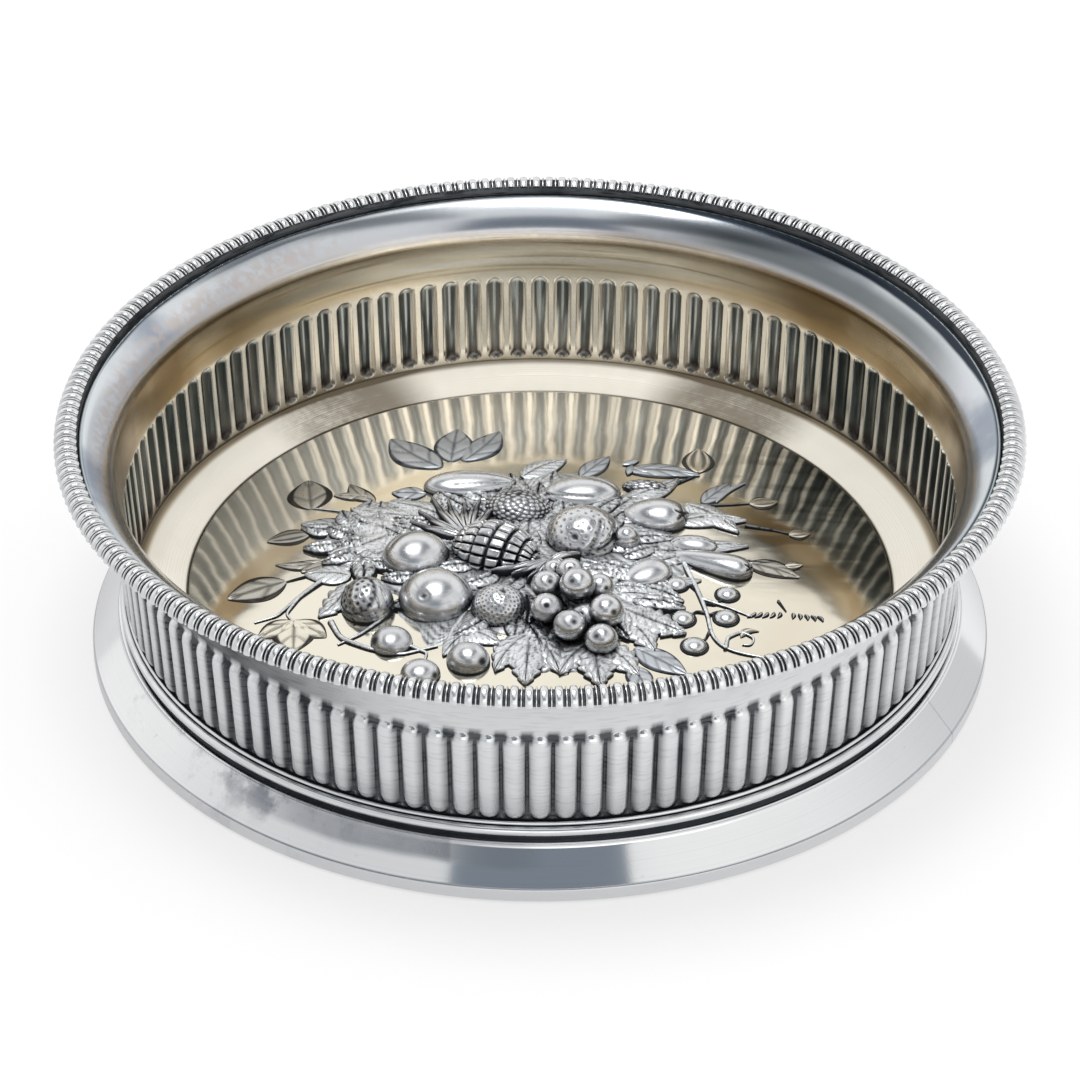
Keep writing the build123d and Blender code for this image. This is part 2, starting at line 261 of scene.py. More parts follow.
def innerFinish(look):
    material, f = newFinish("tarnishedSilver")
    place, x, y, z, reach = f.measured()
    cloud = f.noise(place, look["cloudScale"], 4.0)
    fine = f.noise(place, look["fineScale"])
    level = (z - look["bottom"]) / (look["top"] - look["bottom"])
    wavy = level + (cloud - 0.5) * 0.05 + (fine - 0.5) * 0.02
    base = f.node("ShaderNodeValToRGB", {"stops": look["bands"]}, {"Fac": wavy})
    # level wiping marks in the gilding
    wiped = f.streaked(place, look["wipeScale"], 3.0)
    gilded = f.between(level, *look["giltZone"])
    base = f.blend(f.step(wiped, 0.54, 0.68) * gilded * 0.8, base, look["pale"])
    base = f.blend(f.step(wiped, 0.46, 0.34) * gilded * 0.5, base, look["amber"])
    # painted shade: ridges darker towards the sides, most at the right; the gilding browner there
    away = f.step(level, *look["fluteEdge"]) * f.step(y - 0.3 * abs(x), *look["farY"])
    base = f.blend(away * (0.35 + f.step(x, *look["farX"]) * 0.20), base, look["far"])
    brown = f.between(level, *look["brownZone"]) * f.step(y - x * 0.1, *look["brownY"])
    base = f.blend(brown * (0.60 + f.step(cloud, 0.35, 0.60) * 0.35), base, look["amber"])
    # the flare: blue bloom, a dusky stretch at the right that is a painted reflection of the dark ceiling, a
    # warm one at the left, black under the border that is painted shade with tarnish
    bloom = f.step(cloud, 0.42, 0.62) * f.step(level, *look["bloomEdge"])
    base = f.blend(bloom * (0.25 + f.step(y, *look["bloomY"]) * 0.65), base, look["blue"])
    flare = f.between(level, *look["flareZone"])
    base = f.blend(flare * f.step(x, *look["duskX"]) * f.step(y, *look["duskY"]) * 0.85, base, look["dusk"])
    base = f.blend(flare * f.step(x, *look["peachX"]) * f.step(fine, 0.35, 0.6) * 0.6, base, look["peach"])
    blackFrom = look["blackFrom"] + f.step(x, *look["blackX"]) * 0.9 + f.step(y, *look["blackY"]) * 0.9
    blackened = f.step(reach - (blackFrom + (cloud - 0.5) * 0.8), 0.0, 0.5)
    base = f.blend(blackened * f.step(level, *look["blackEdge"]), base, look["black"])
    # dark hollows, part tarnish and part painted shade, with upright streaks of painted reflection; black
    # pools of painted shade at their feet
    kept = f.painted()
    shade = kept * (0.86 + f.step(cloud, 0.35, 0.65) * 0.14)
    sides = f.step(y, *look["sideY"])
    streaks = f.step(f.streaked(place, look["streakScale"]), 0.50, 0.68) * 0.35 * (1.0 - sides * 0.7)
    hollow = f.blend(streaks, f.blend(sides, look["hollow"], look["far"]), look["streak"])
    hollow = f.blend(f.step(level, *look["poolEdge"]), hollow, look["pool"])
    base = f.blend(shade, base, hollow)
    # a painted blue gleam down each hollow, where its dark value is middling
    gleam = f.between(kept, 0.30, 0.50, 0.65, 0.85) * f.step(level, *look["gleamEdge"])
    base = f.blend(gleam * 0.7, base, look["streak"])
    rough = look["rough"] + cloud * 0.1 + shade * 0.10
    f.close({"Base Color": base, "Metallic": 1.0, "Roughness": rough, "Normal": f.bump(fine, 0.15, 0.00002)})
    return material


# Gilt floor: polished dome, satin turned ring outside it, a dark line in the crease and at the wall

giltLook = {
    "dome": (0.88, 0.83, 0.71), "ring": (1.0, 0.957, 0.85), "worn": (0.62, 0.52, 0.39),
    "grimeAndShade": (0.14, 0.11, 0.07), "cove": (0.40, 0.30, 0.17), "fringe": (0.20, 0.20, 0.17),
    "dusky": (0.27, 0.25, 0.20), "crease": 55.5, "creaseSoft": 0.25, "wall": 63.7, "domeRough": 0.10,
    "ringRough": 0.34, "ringMetal": 0.12, "cloudScale": 38.0, "fineScale": 900.0, "lineScale": 4.0,
    "waveScale": 110.0, "streakScale": (70.0, 380.0, 70.0), "coveY": (58.0, 40.0),
    "wideCoveY": (48.0, 20.0), "wideCove": 0.5, "fringeX": (26.0, 46.0), "fringeFrom": 6.0,
    "fringeFull": 1.0, "duskyX": (24.0, 38.0), "duskyY": (-9.0, 1.0, 30.0, 44.0), "dullAt": (31.0, 49.0),
    "dullReach": 17.0, "dull": 0.85, "satin": 0.26, "satinEdge": (16.0, 42.0), "bulge": 0.0015,
    "wave": 0.09, "bulgeDepth": 0.001, "lineDepth": 0.00009}


def giltFinish(look):
    material, f = newFinish("paleGilding")
    place, x, y, _, reach = f.measured()
    cloud = f.noise(place, look["cloudScale"], 4.0)
    fine = f.noise(place, look["fineScale"], 2.0)
    lines = f.turnedLines(reach, look["lineScale"])
    aside = abs(x)
    ring = f.step(reach, look["crease"] - look["creaseSoft"], look["crease"] + look["creaseSoft"])
    dome = 1.0 - ring
    base = f.blend(ring, look["dome"], look["ring"])
    base = f.blend(f.step(cloud, 0.50, 0.72) * 0.35 * (1.0 - ring * 0.6), base, look["worn"])
    # a brown cove along the sides of the wall
    widened = reach + f.step(y, *look["wideCoveY"]) * look["wideCove"]
    cove = f.step(widened, look["wall"] - 1.2, look["wall"] - 0.2)
    base = f.blend(cove * f.step(y, *look["coveY"]) * (0.45 + cloud * 0.7), base, look["cove"])
    # a dark fringe along the sides of the dome, heavier at the right: painted shade
    fringe = f.step(reach, look["crease"] - look["fringeFrom"], look["crease"] - look["fringeFull"])
    fringe = fringe * f.step(aside, *look["fringeX"]) * dome * f.step(cloud + (fine - 0.5) * 0.5, 0.20, 0.60)
    base = f.blend(fringe * (0.25 + f.step(x, -10.0, 10.0) * 0.60), base, look["fringe"])
    # painted reflection of the wall: wavy brown streaks on the dome between the fruit and its right edge
    streaks = f.step(f.streaked(place, look["streakScale"], 3.0), 0.42, 0.58)
    dusky = f.step(x, *look["duskyX"]) * f.between(y, *look["duskyY"]) * dome
    base = f.blend(dusky * (0.40 + streaks * 0.45), base, look["dusky"])
    # painted shade with grime in the crease and at the wall, and a painted dark reflection on a mottled
    # stretch of the ring at each side of the back
    crease = f.step(abs(reach - look["crease"]), 0.55, 0.05) * (0.35 + cloud * 0.5)
    wall = f.step(reach, look["wall"] - 1.3, look["wall"] - 0.1) * (0.35 + cloud)
    mottled = f.step(cloud + (lines - 0.5) * 0.5 + (fine - 0.5) * 0.15, 0.24, 0.56)
    dull = f.spot(aside, y, look["dullAt"], look["dullReach"]) * ring * mottled * look["dull"]
    sootAndShade = f.held(crease + wall + dull)
    base = f.blend(sootAndShade, base, look["grimeAndShade"])
    base = f.blend(ring * f.step(lines, 0.52, 0.70) * 0.15, base, look["worn"])
    rough = look["domeRough"] + ring * (look["ringRough"] - look["domeRough"]) + (cloud - 0.5) * 0.06
    # the dome's slow swelling and waviness, then the turning lines of the ring
    waves = f.noise(place, look["waveScale"], 2.0) * look["wave"]
    bulge = ((x * x + y * y * 0.15) * look["bulge"] + waves) * (ring - 1.0)
    bulged = f.bump(bulge, 1.0, look["bulgeDepth"])
    bump = f.bump(lines * ring + fine * 0.004, 1.0, look["lineDepth"], bulged)
    # the dome turns satin towards the back and the left
    satinPart = f.step(y - x * 0.6, *look["satinEdge"]) * dome * look["satin"]
    metal = 1.0 - ring * (1.0 - look["ringMetal"]) - satinPart
    f.close({"Base Color": base, "Metallic": metal, "Roughness": rough + sootAndShade * 0.2, "Normal": bump})
    return material


# Foot: bright, with fine turning lines and soft grey stains on the worn stretch at the left

footLook = {
    "clean": (0.87, 0.875, 0.885), "stain": (0.30, 0.315, 0.35), "rough": 0.09, "wornAt": (-50.0, -47.0),
    "wornReach": 30.0, "seam": 2.6, "joint": (0.446, 0.895), "cloudScale": 130.0, "speckScale": 420.0,
    "fineScale": 2600.0, "wideScale": 35.0, "lineScale": 5.0, "highZ": (3.0, 6.5), "darkStretchZ": (4.3, 5.4),
    "darkStretchX": (-46.0, -34.0, -13.6, -12.9), "paleStretchX": (-13.6, -12.9, -5.0, 2.0), "darkStretchY": -40.0}


def footFinish(look):
    material, f = newFinish("footSilver")
    place, x, y, z, reach = f.measured()
    worn = f.spot(x, y, look["wornAt"], look["wornReach"])
    cloud = f.noise(place, look["cloudScale"], 5.0, 0.6)
    specks = f.noise(place, look["speckScale"], 3.0, 0.6)
    fine = f.noise(place, look["fineScale"], 2.0)
    wide = f.noise(place, look["wideScale"])
    lines = f.turnedLines(reach, look["lineScale"])
    high = 0.25 + f.step(z, *look["highZ"]) * 0.75  # the stains gather under the moulding
    stain = worn * high * (f.step(cloud, 0.48, 0.66) * 0.75 + f.step(specks, 0.60, 0.72) * 0.35)
    stain = stain + f.step(wide, 0.50, 0.80) * 0.10 + f.step(specks, 0.68, 0.76) * 0.10
    stain = stain + f.step(lines, 0.5, 0.7) * 0.06
    # a darker stretch left of the middle, high on the skirt at the front, paler towards the right
    darkStretch = f.between(x, *look["darkStretchX"]) * (0.45 + cloud * 0.5) + f.between(x, *look["paleStretchX"]) * 0.45
    stain = stain + darkStretch * f.step(z + (wide - 0.5) * 2.0, *look["darkStretchZ"]) * (y < look["darkStretchY"])
    # the line over the edge wire, and the soldered joint at the right
    joint = abs(x * look["joint"][0] + y * look["joint"][1])
    stain = stain + f.step(abs(z - look["seam"]), 0.24, 0.06) * 0.6
    stain = stain + f.step(joint, 0.30, 0.05) * (x > 0.0) * 0.3
    base = f.blend(f.held(stain), look["clean"], look["stain"])
    bump = f.bump(fine * 0.3 + worn * cloud * 0.6 + lines * 0.25, 0.10, 0.00003)
    f.close({"Base Color": base, "Metallic": 1.0, "Roughness": look["rough"] + stain * 0.25, "Normal": bump})
    return material


tarnished = innerFinish(innerLook)
gilt = giltFinish(giltLook)
footSilver = footFinish(footLook)

# Hardwood and baize

woodLook = {"dark": (0.20, 0.11, 0.055), "light": (0.40, 0.25, 0.14), "pore": (0.10, 0.055, 0.03),
            "rough": 0.45, "grainScale": (30.0, 420.0, 420.0), "poreScale": (90.0, 2600.0, 2600.0)}
baizeLook = {"dark": (0.018, 0.085, 0.04), "light": (0.05, 0.19, 0.095), "worn": (0.07, 0.20, 0.12),
             "rough": 0.95, "napScale": 2200.0, "driftScale": 60.0, "sheen": 0.35}


def woodFinish(look):
    material, f = newFinish("turnedHardwood")
    place = f.place()
    grain = f.streaked(place, look["grainScale"], 6.0, 0.6)
    pores = f.streaked(place, look["poreScale"])
    base = f.blend(f.step(grain, 0.3, 0.7), look["dark"], look["light"])
    base = f.blend(f.step(pores, 0.58, 0.7) * 0.6, base, look["pore"])
    f.close({"Base Color": base, "Roughness": look["rough"] + grain * 0.15,
             "Normal": f.bump(pores, 0.3, 0.0001)})
    return material


def baizeFinish(look):
    material, f = newFinish("greenBaize")
    place = f.place()
    nap = f.noise(place, look["napScale"], 3.0, 0.7)
    drift = f.noise(place, look["driftScale"])
    base = f.blend(f.step(nap, 0.3, 0.7), look["dark"], look["light"])
    base = f.blend(f.step(drift, 0.45, 0.75) * 0.4, base, look["worn"])
    f.close({"Base Color": base, "Roughness": look["rough"], "Normal": f.bump(nap, 0.7, 0.0003),
             "Sheen Weight": look["sheen"]})
    return material


hardwood = woodFinish(woodLook)
baize = baizeFinish(baizeLook)
print("finishes ready")


# Mesh making

def ringFaces(rows, cols, closedRows):
    # quads between neighbouring rows of a grid whose columns wrap round; rows wrap too where closed
    i, j = np.meshgrid(np.arange(rows if closedRows else rows - 1), np.arange(cols), indexing="ij")
    down, right = (i + 1) % rows, (j + 1) % cols
    return np.stack([i * cols + j, i * cols + right, down * cols + right, down * cols + j], -1).reshape(-1, 4)


def skinFaces(rows, cols):
    # a grid closed round its columns, with one point at each end: fans at the ends, quads between
    j = np.arange(cols)
    right = (j + 1) % cols
    last = rows * cols + 1
    start = np.stack([np.zeros(cols, int), 1 + right, 1 + j], -1)
    end = np.stack([np.full(cols, last), last - cols + j, last - cols + right], -1)
    return [start, ringFaces(rows, cols, False) + 1, end]


def makePiece(name, points, faces, material, node, dark=None, sharp=40.0):
    # points in millimetres, faces as arrays of quads or triangles, dark as one value for each point
    mesh = bpy.data.meshes.new(name)
    listed = [face for group in faces for face in group.tolist()]
    mesh.from_pydata((np.asarray(points, float) * mm).tolist(), [], listed)
    mesh.polygons.foreach_set("use_smooth", np.ones(len(mesh.polygons), bool))
    if dark is not None:
        mesh.attributes.new("dark", "FLOAT", "POINT").data.foreach_set("value", np.asarray(dark, np.float32))
    mesh.set_sharp_from_angle(angle=radians(sharp))
    mesh.materials.append(material)
    piece = bpy.data.objects.new(name, mesh)
    bpy.context.scene.collection.objects.link(piece)
    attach(piece, "root")
    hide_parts(node)
    print(name, len(mesh.vertices), "points", sum(len(g) * (g.shape[1] - 2) for g in faces), "triangles")
    return piece


def around(count):
    # even angles once round
    return np.arange(count) * 2 * pi / count


def turned(profile, cols):
    # a closed profile of radius and height carried once round the axis
    angle = around(cols)
    r, z = profile[:, :1], profile[:, 1:]
    return np.stack([r * np.cos(angle), r * np.sin(angle), z + 0 * angle], -1).reshape(-1, 3)


def softened(corners, steps=7, hold=0.12):
    # a closed outline of (radius, height, rounding): each corner becomes a short curve between its two
    # sides, with a point a little further along each side to keep the straight part flat
    loop = np.array([c[:2] for c in corners], float)
    cut = np.array([c[2] for c in corners], float)[:, None]
    toLast, toNext = np.roll(loop, 1, 0) - loop, np.roll(loop, -1, 0) - loop
    toLast = toLast / np.linalg.norm(toLast, axis=1, keepdims=True)
    toNext = toNext / np.linalg.norm(toNext, axis=1, keepdims=True)
    a, b = loop + toLast * cut, loop + toNext * cut
    t = np.linspace(0, 1, steps)[None, :, None]
    curve = (1 - t) ** 2 * a[:, None] + 2 * t * (1 - t) * loop[:, None] + t ** 2 * b[:, None]
    curve = np.concatenate([(a + toLast * hold)[:, None], curve, (b + toNext * hold)[:, None]], 1)
    return np.concatenate([curve[k] if cut[k] > 0 else loop[k:k + 1] for k in range(len(loop))])


def smooth(value, low, high):
    # smooth rise from 0 at low to 1 at high; where low is the larger of the two, a fall
    t = np.clip((value - low) / (high - low), 0, 1)
    return t * t * (3 - 2 * t)


def bell(value, width, power=2):
    # 1 at nought, falling away on both sides within the width
    return np.exp(-(value / width) ** power)


def arcPoints(centre, radius, first, last, count):
    # points of an arc in the profile plane, angles in degrees from the outward direction
    a = np.radians(np.linspace(first, last, count))
    return np.stack([centre[0] + radius * np.cos(a), centre[1] + radius * np.sin(a)], -1)


# Foot: edge wire, spreading skirt with its shelf, reeded moulding

foot = {"radius": 70.7, "bottom": 0.4, "wireTop": 2.6, "wireBore": 69.4, "ledgeBore": 68.0, "ledgeTop": 1.2,
        "skirtRadius": 70.6, "collarRadius": 66.4, "collarBottom": 7.3, "shelfTop": 7.9, "gauge": 0.8,
        "bore": 63.8, "wireEdge": 0.35, "wireShoulder": 0.3, "skirtEdge": 0.15, "collarBend": 0.35,
        "shelfEdge": 0.25, "columns": 540}

wireLoop = softened([
    (foot["ledgeBore"], foot["bottom"], 0), (foot["radius"], foot["bottom"], foot["wireEdge"]),
    (foot["radius"], foot["wireTop"], foot["wireShoulder"]), (foot["wireBore"], foot["wireTop"], 0),
    (foot["wireBore"], foot["ledgeTop"], 0), (foot["ledgeBore"], foot["ledgeTop"], 0)])
makePiece("footWire", turned(wireLoop, foot["columns"]), [ringFaces(len(wireLoop), foot["columns"], True)],
          footSilver, "foot_wire")

slope = (foot["skirtRadius"] - foot["collarRadius"]) / (foot["collarBottom"] - foot["wireTop"])
sheetRun = foot["gauge"] * sqrt(1 + slope ** 2)
shelfUnder = foot["shelfTop"] - foot["gauge"]
skirtLoop = softened([
    (foot["skirtRadius"] - sheetRun, foot["wireTop"], 0),
    (foot["skirtRadius"], foot["wireTop"], foot["skirtEdge"]),
    (foot["collarRadius"], foot["collarBottom"], foot["collarBend"]),
    (foot["collarRadius"], foot["shelfTop"], foot["shelfEdge"]),
    (foot["bore"], foot["shelfTop"], 0), (foot["bore"], shelfUnder, 0),
    (foot["skirtRadius"] - sheetRun - slope * (shelfUnder - foot["wireTop"]), shelfUnder, 0)])
makePiece("footSkirt", turned(skirtLoop, foot["columns"]), [ringFaces(len(skirtLoop), foot["columns"], True)],
          footSilver, "foot_skirt", sharp=50.0)

moulding = {"radius": 64.6, "bottom": 7.9, "grooveTop": 8.6, "reedTop": 10.2, "top": 10.9,
            "neck": 0.7, "reed": 0.8, "reedPoints": 15, "fineNeck": 0.35, "fineReed": 0.35, "finePoints": 9}
midReed = (moulding["grooveTop"] + moulding["reedTop"]) / 2
midFine = (moulding["reedTop"] + moulding["top"]) / 2
neckRadius = moulding["radius"] + moulding["neck"]
mouldingLoop = np.concatenate([
    [(moulding["radius"], moulding["bottom"]), (neckRadius, moulding["bottom"])],
    arcPoints((neckRadius, midReed), moulding["reed"], -90, 90, moulding["reedPoints"]),
    arcPoints((moulding["radius"] + moulding["fineNeck"], midFine), moulding["fineReed"], -90, 90,
              moulding["finePoints"]),
    [(moulding["radius"], moulding["top"])]])
# painted shade with tarnish: each reed darker towards its edges, where it meets the next
mouldingDark = np.concatenate([[1, 1], np.abs(np.linspace(-1, 1, moulding["reedPoints"])) ** 6,
                               np.abs(np.linspace(-1, 1, moulding["finePoints"])) ** 4, [1]])
makePiece("baseMoulding", turned(mouldingLoop, foot["columns"]),
          [ringFaces(len(mouldingLoop), foot["columns"], True)], silver, "base_moulding",
          dark=np.repeat(mouldingDark, foot["columns"]))

# Gallery wall: round-ended flutes struck outwards, plain flared lip

gallery = {"radius": 64.6, "flare": 1.0, "bottom": 7.9, "fluteBottom": 10.9, "fluteTop": 26.9, "gauge": 0.8,
           "flutes": 108, "gap": 0.3, "margin": 0.15, "projection": 0.9, "lipSpread": 6.7, "seat": 38.5,
           "lipLean": [(0, 3.6), (0.48, 13), (0.53, 32), (0.70, 46), (1, 67)],
           "hollowWidth": 1.50, "hollowDepth": 0.85, "skin": 0.3, "endRows": 7, "lipRows": 14,
           "backEndRows": 3, "backLipRows": 4}
pitch = 2 * pi * (gallery["radius"] + gallery["flare"] / 2) / gallery["flutes"]
halfWidth = (pitch - gallery["gap"]) / 2
bulgeCurve = (halfWidth ** 2 + gallery["projection"] ** 2) / (2 * gallery["projection"])
spineLow = gallery["fluteBottom"] + gallery["margin"] + halfWidth
spineHigh = gallery["fluteTop"] - gallery["margin"] - halfWidth

lipStart = np.array([gallery["radius"] + gallery["flare"], gallery["fluteTop"]])
lipEnd = np.array([lipStart[0] + gallery["lipSpread"], gallery["seat"]])


def lipProfile(inset, count):
    # the flared lip: its lean grows from the cone's to a wide flare, and summing the lean gives the curve;
    # inset moves it square to itself, and it stops at the seat of the border
    s = np.linspace(0, 1, 200)
    lean = np.radians(np.interp(s, *np.array(gallery["lipLean"]).T))
    run = np.concatenate([[0], np.cumsum((np.sin(lean)[1:] + np.sin(lean)[:-1]) / 2)])
    climb = np.concatenate([[0], np.cumsum((np.cos(lean)[1:] + np.cos(lean)[:-1]) / 2)])
    chord = lipEnd - lipStart
    r = lipStart[0] + run / run[-1] * chord[0] - inset * np.cos(lean)
    z = lipStart[1] + climb / climb[-1] * chord[1] + inset * np.sin(lean)
    stop = np.interp(gallery["seat"], z, s)
    at = np.linspace(0, stop, count)
    return np.stack([np.interp(at, s, r), np.interp(at, s, z)], -1)


def wallRadius(z, inset):
    # plain wall: upright band, then a slight cone
    up = np.clip((z - gallery["fluteBottom"]) / (gallery["fluteTop"] - gallery["fluteBottom"]), 0, None)
    return gallery["radius"] + gallery["flare"] * up - inset


def flutedSide(inset, width, bulge, rowsAtEnd, columnSteps, lipRows):
    # distance from the spine of each flute gives the bulge, so the ends come out as quarter balls
    ends = width * np.sqrt(1 - (np.arange(rowsAtEnd + 1) / rowsAtEnd) ** 2)
    heights = np.concatenate([[gallery["bottom"], gallery["fluteBottom"]], spineLow - ends,
                              [(spineLow * 2 + spineHigh) / 3, (spineLow + spineHigh * 2) / 3],
                              (spineHigh + ends)[::-1]])
    across = np.concatenate([-columnSteps[::-1][:-1], columnSteps])[:-1] * pitch / 2
    cols = len(across) * gallery["flutes"]
    turn = (np.arange(gallery["flutes"])[:, None] * pitch + across).reshape(-1) * 2 * pi
    turn = turn / (pitch * gallery["flutes"])
    x = np.tile(across, gallery["flutes"])[None]
    z = heights[:, None]
    apart = np.hypot(x, z - np.clip(z, spineLow, spineHigh))
    radius = wallRadius(z, inset) + bulge(apart)
    lip = lipProfile(inset, lipRows)
    radius = np.concatenate([radius, np.repeat(lip[:, :1], cols, 1)])
    z = np.concatenate([np.repeat(z, cols, 1), np.repeat(lip[:, 1:], cols, 1)])
    apart = np.concatenate([apart, np.full((lipRows, cols), 9.0)])  # the lip is far from any flute
    return radius, z, turn, apart, x / width


def outerBulge(apart):
    # a round swelling of the set projection, nothing beyond its foot
    inside = np.sqrt(np.clip(bulgeCurve ** 2 - apart ** 2, 0, None)) - (bulgeCurve - gallery["projection"])
    return np.clip(inside, 0, None)


def innerHollow(apart):
    # wide round channels that leave narrow ridges
    return gallery["hollowDepth"] * np.clip(1 - (apart / gallery["hollowWidth"]) ** 2, 0, 1) ** 0.85


# Tarnish and painted shade on the gallery: shares of a flute's half-width, heights in millimetres, pairs as
# edges

outerTarnishAndShade = {"lineInside": 0.10, "lineOutside": 0.55, "flank": (0.15, 0.95), "crispFlank": (0.40, 0.82),
                "depth": 0.58, "crispDepth": 0.36, "left": (-0.2, 0.2), "farLeft": (0.30, 0.70),
                "round": 0.08, "nick": 0.8, "nickFlank": (0.40, 0.80), "nickDrop": (2.0, 1.2),
                "footZ": (16.0, 11.5), "foot": 0.25, "footLineZ": (11.6, 11.0), "lip": 0.06, "darkLip": 0.80,
                "darkLipLeft": (0.25, 0.68), "darkLipZ": (37.8, 30.0)}
innerTarnishAndShade = {"sides": (0.95, 0.60), "share": 0.74, "footShare": 0.20, "footZ": (24.0, 13.0),
                "sideShare": 0.28, "softOut": 0.07, "softIn": 0.08, "lean": 0.22, "uprightSides": 0.8,
                "gleam": 0.55, "gleamWidth": 0.12, "gleamZ": (15.0, 20.0), "dimSides": 0.7,
                "hoodFrom": 1.2, "hoodTo": 0.4, "cap": 0.85, "capFrom": 0.1, "capTo": -0.35,
                "capEdge": (1.05, 0.8)}


def outerDark(look, width, z, turn, apart, flank):
    # tarnish in thin black lines between the flutes; painted shade on the flank towards the front, crisper at
    # the left, on the rounded sides, in nicks between the flute tops and in a line at the foot; a darker
    # foot, part grime and part painted reflection of the shaded floor; a darker stretch of lip at the left
    leftward = -np.cos(turn)[None]
    edge = bell(np.clip(width - apart, 0, None) / look["lineInside"]
                + np.clip(apart - width, 0, None) / look["lineOutside"], 1.0)
    edge = edge * (1 - smooth(z, spineHigh, spineHigh + 0.7) * smooth(np.abs(flank), 0.75, 0.35))
    # painted shade in the nicks between the round flute tops
    nick = smooth(np.abs(flank), *look["nickFlank"]) * smooth(gallery["fluteTop"] - z, *look["nickDrop"])
    left = smooth(leftward, *look["left"])
    farLeft = smooth(leftward, *look["farLeft"])
    # painted reflection of the dark camera side on the flank towards the front
    shaded = smooth(flank, *look["flank"]) * left + smooth(-flank, *look["flank"]) * (1 - left)
    shaded = shaded + (smooth(flank, *look["crispFlank"]) - shaded) * farLeft
    deep = look["depth"] + look["crispDepth"] * farLeft
    # painted shade: each flute darker towards its rounded sides
    dark = edge + look["round"] * smooth(apart / width, 0.5, 1.0) + deep * shaded + look["nick"] * nick
    # the foot: grime with a painted reflection of the shaded floor, and a dark line at the base, painted
    # shade with tarnish
    dark = np.maximum(dark + look["foot"] * smooth(z, *look["footZ"]), smooth(z, *look["footLineZ"]))
    lip = look["lip"] + look["darkLip"] * smooth(leftward, *look["darkLipLeft"]) * smooth(z, *look["darkLipZ"])
    return dark, lip


def innerDark(look, width, z, turn, apart, flank):
    # hollows dark, part tarnish and part painted shade, more so away from the middle; pale ridges, broad at
    # the foot;
    # a painted gleam down each hollow, a painted pale hood over it and a dark cap of painted shade at its
    # foot
    away = flank * np.clip(-3 * np.cos(turn), -1, 1)[None]
    sides = smooth(np.sin(turn), *look["sides"])[None]
    share = look["share"] - look["footShare"] * smooth(z, *look["footZ"]) * (1 - sides)
    share = share + look["sideShare"] * sides
    lean = look["lean"] * away * (1 - look["uprightSides"] * sides)
    dark = smooth(apart / width - lean, share + look["softOut"], share - look["softIn"])
    gleam = bell(flank, look["gleamWidth"]) * smooth(z, *look["gleamZ"]) * (1 - look["dimSides"] * sides)
    dark = dark * (1 - look["gleam"] * gleam)
    dark = dark * smooth(z, spineHigh + look["hoodFrom"], spineHigh + look["hoodTo"])
    # painted shade over the rounded foot of each hollow
    cap = look["cap"] * smooth(z, spineLow + look["capFrom"], spineLow + look["capTo"])
    return np.maximum(dark, cap * smooth(apart / width, *look["capEdge"])), 0.0


def gallerySide(name, inset, width, bulge, steps, outside, material):
    # one face of the sheet with a thin skin behind it
    radius, z, turn, apart, flank = flutedSide(inset, width, bulge, gallery["endRows"], steps,
                                               gallery["lipRows"])
    behind = gallery["skin"] if outside else -gallery["skin"]
    backR, backZ = flutedSide(inset + behind, width, bulge, gallery["backEndRows"], steps,
                              gallery["backLipRows"])[:2]
    rows, cols = radius.shape
    radius = np.concatenate([radius, backR[::-1]])
    allZ = np.concatenate([z, backZ[::-1]])
    points = np.stack([radius * np.cos(turn), radius * np.sin(turn), allZ], -1).reshape(-1, 3)
    faces = ringFaces(len(radius), cols, True)
    if outside:
        dark, lip = outerDark(outerTarnishAndShade, width, z, turn, apart, flank)
    else:
        faces = faces[:, ::-1]
        dark, lip = innerDark(innerTarnishAndShade, width, z, turn, apart, flank)
    inBand = (z > gallery["fluteBottom"] - 0.2) & (z < gallery["fluteTop"] + 0.1)
    shade = np.ones_like(radius)
    shade[:rows] = np.where(inBand, np.clip(dark, 0, 1), lip)
    makePiece(name, points, [faces], material, "gallery_wall", dark=shade.reshape(-1), sharp=35.0)


outerSteps = np.array([0.0, 0.155, 0.31, 0.46, 0.60, 0.715, 0.81, 0.885, halfWidth * 2 / pitch, 1.0])
innerSteps = np.array([0.0, 0.16, 0.32, 0.47, 0.60, 0.70, 0.775, gallery["hollowWidth"] * 2 / pitch,
                       0.92, 1.0])
gallerySide("galleryOuter", 0.0, halfWidth, outerBulge, outerSteps, True, silver)
gallerySide("galleryInner", gallery["gauge"], gallery["hollowWidth"], innerHollow, innerSteps, False,
            tarnished)

# Border: half-round wire cut into beads and narrow reels; places along one unit are shares of its length

border = {"radius": 72.9, "section": 2.1, "seat": 38.5, "units": 216, "grooveDepth": 0.5, "barrel": 0.10,
          "beadHalf": 0.28, "reelAt": 0.77, "reelHalf": 0.075, "reelDrop": 0.12, "plainFrom": 136.0,
          "plainBy": 141.0, "grooveDark": 0.88, "roundPoints": 13, "filletAngles": (152, 166, 180),
          "unit": [0.0, 0.012, 0.04, 0.10, 0.19, 0.28, 0.37, 0.46, 0.52, 0.548, 0.56, 0.585, 0.685, 0.705,
                   0.735, 0.77, 0.805, 0.835, 0.855, 0.975]}


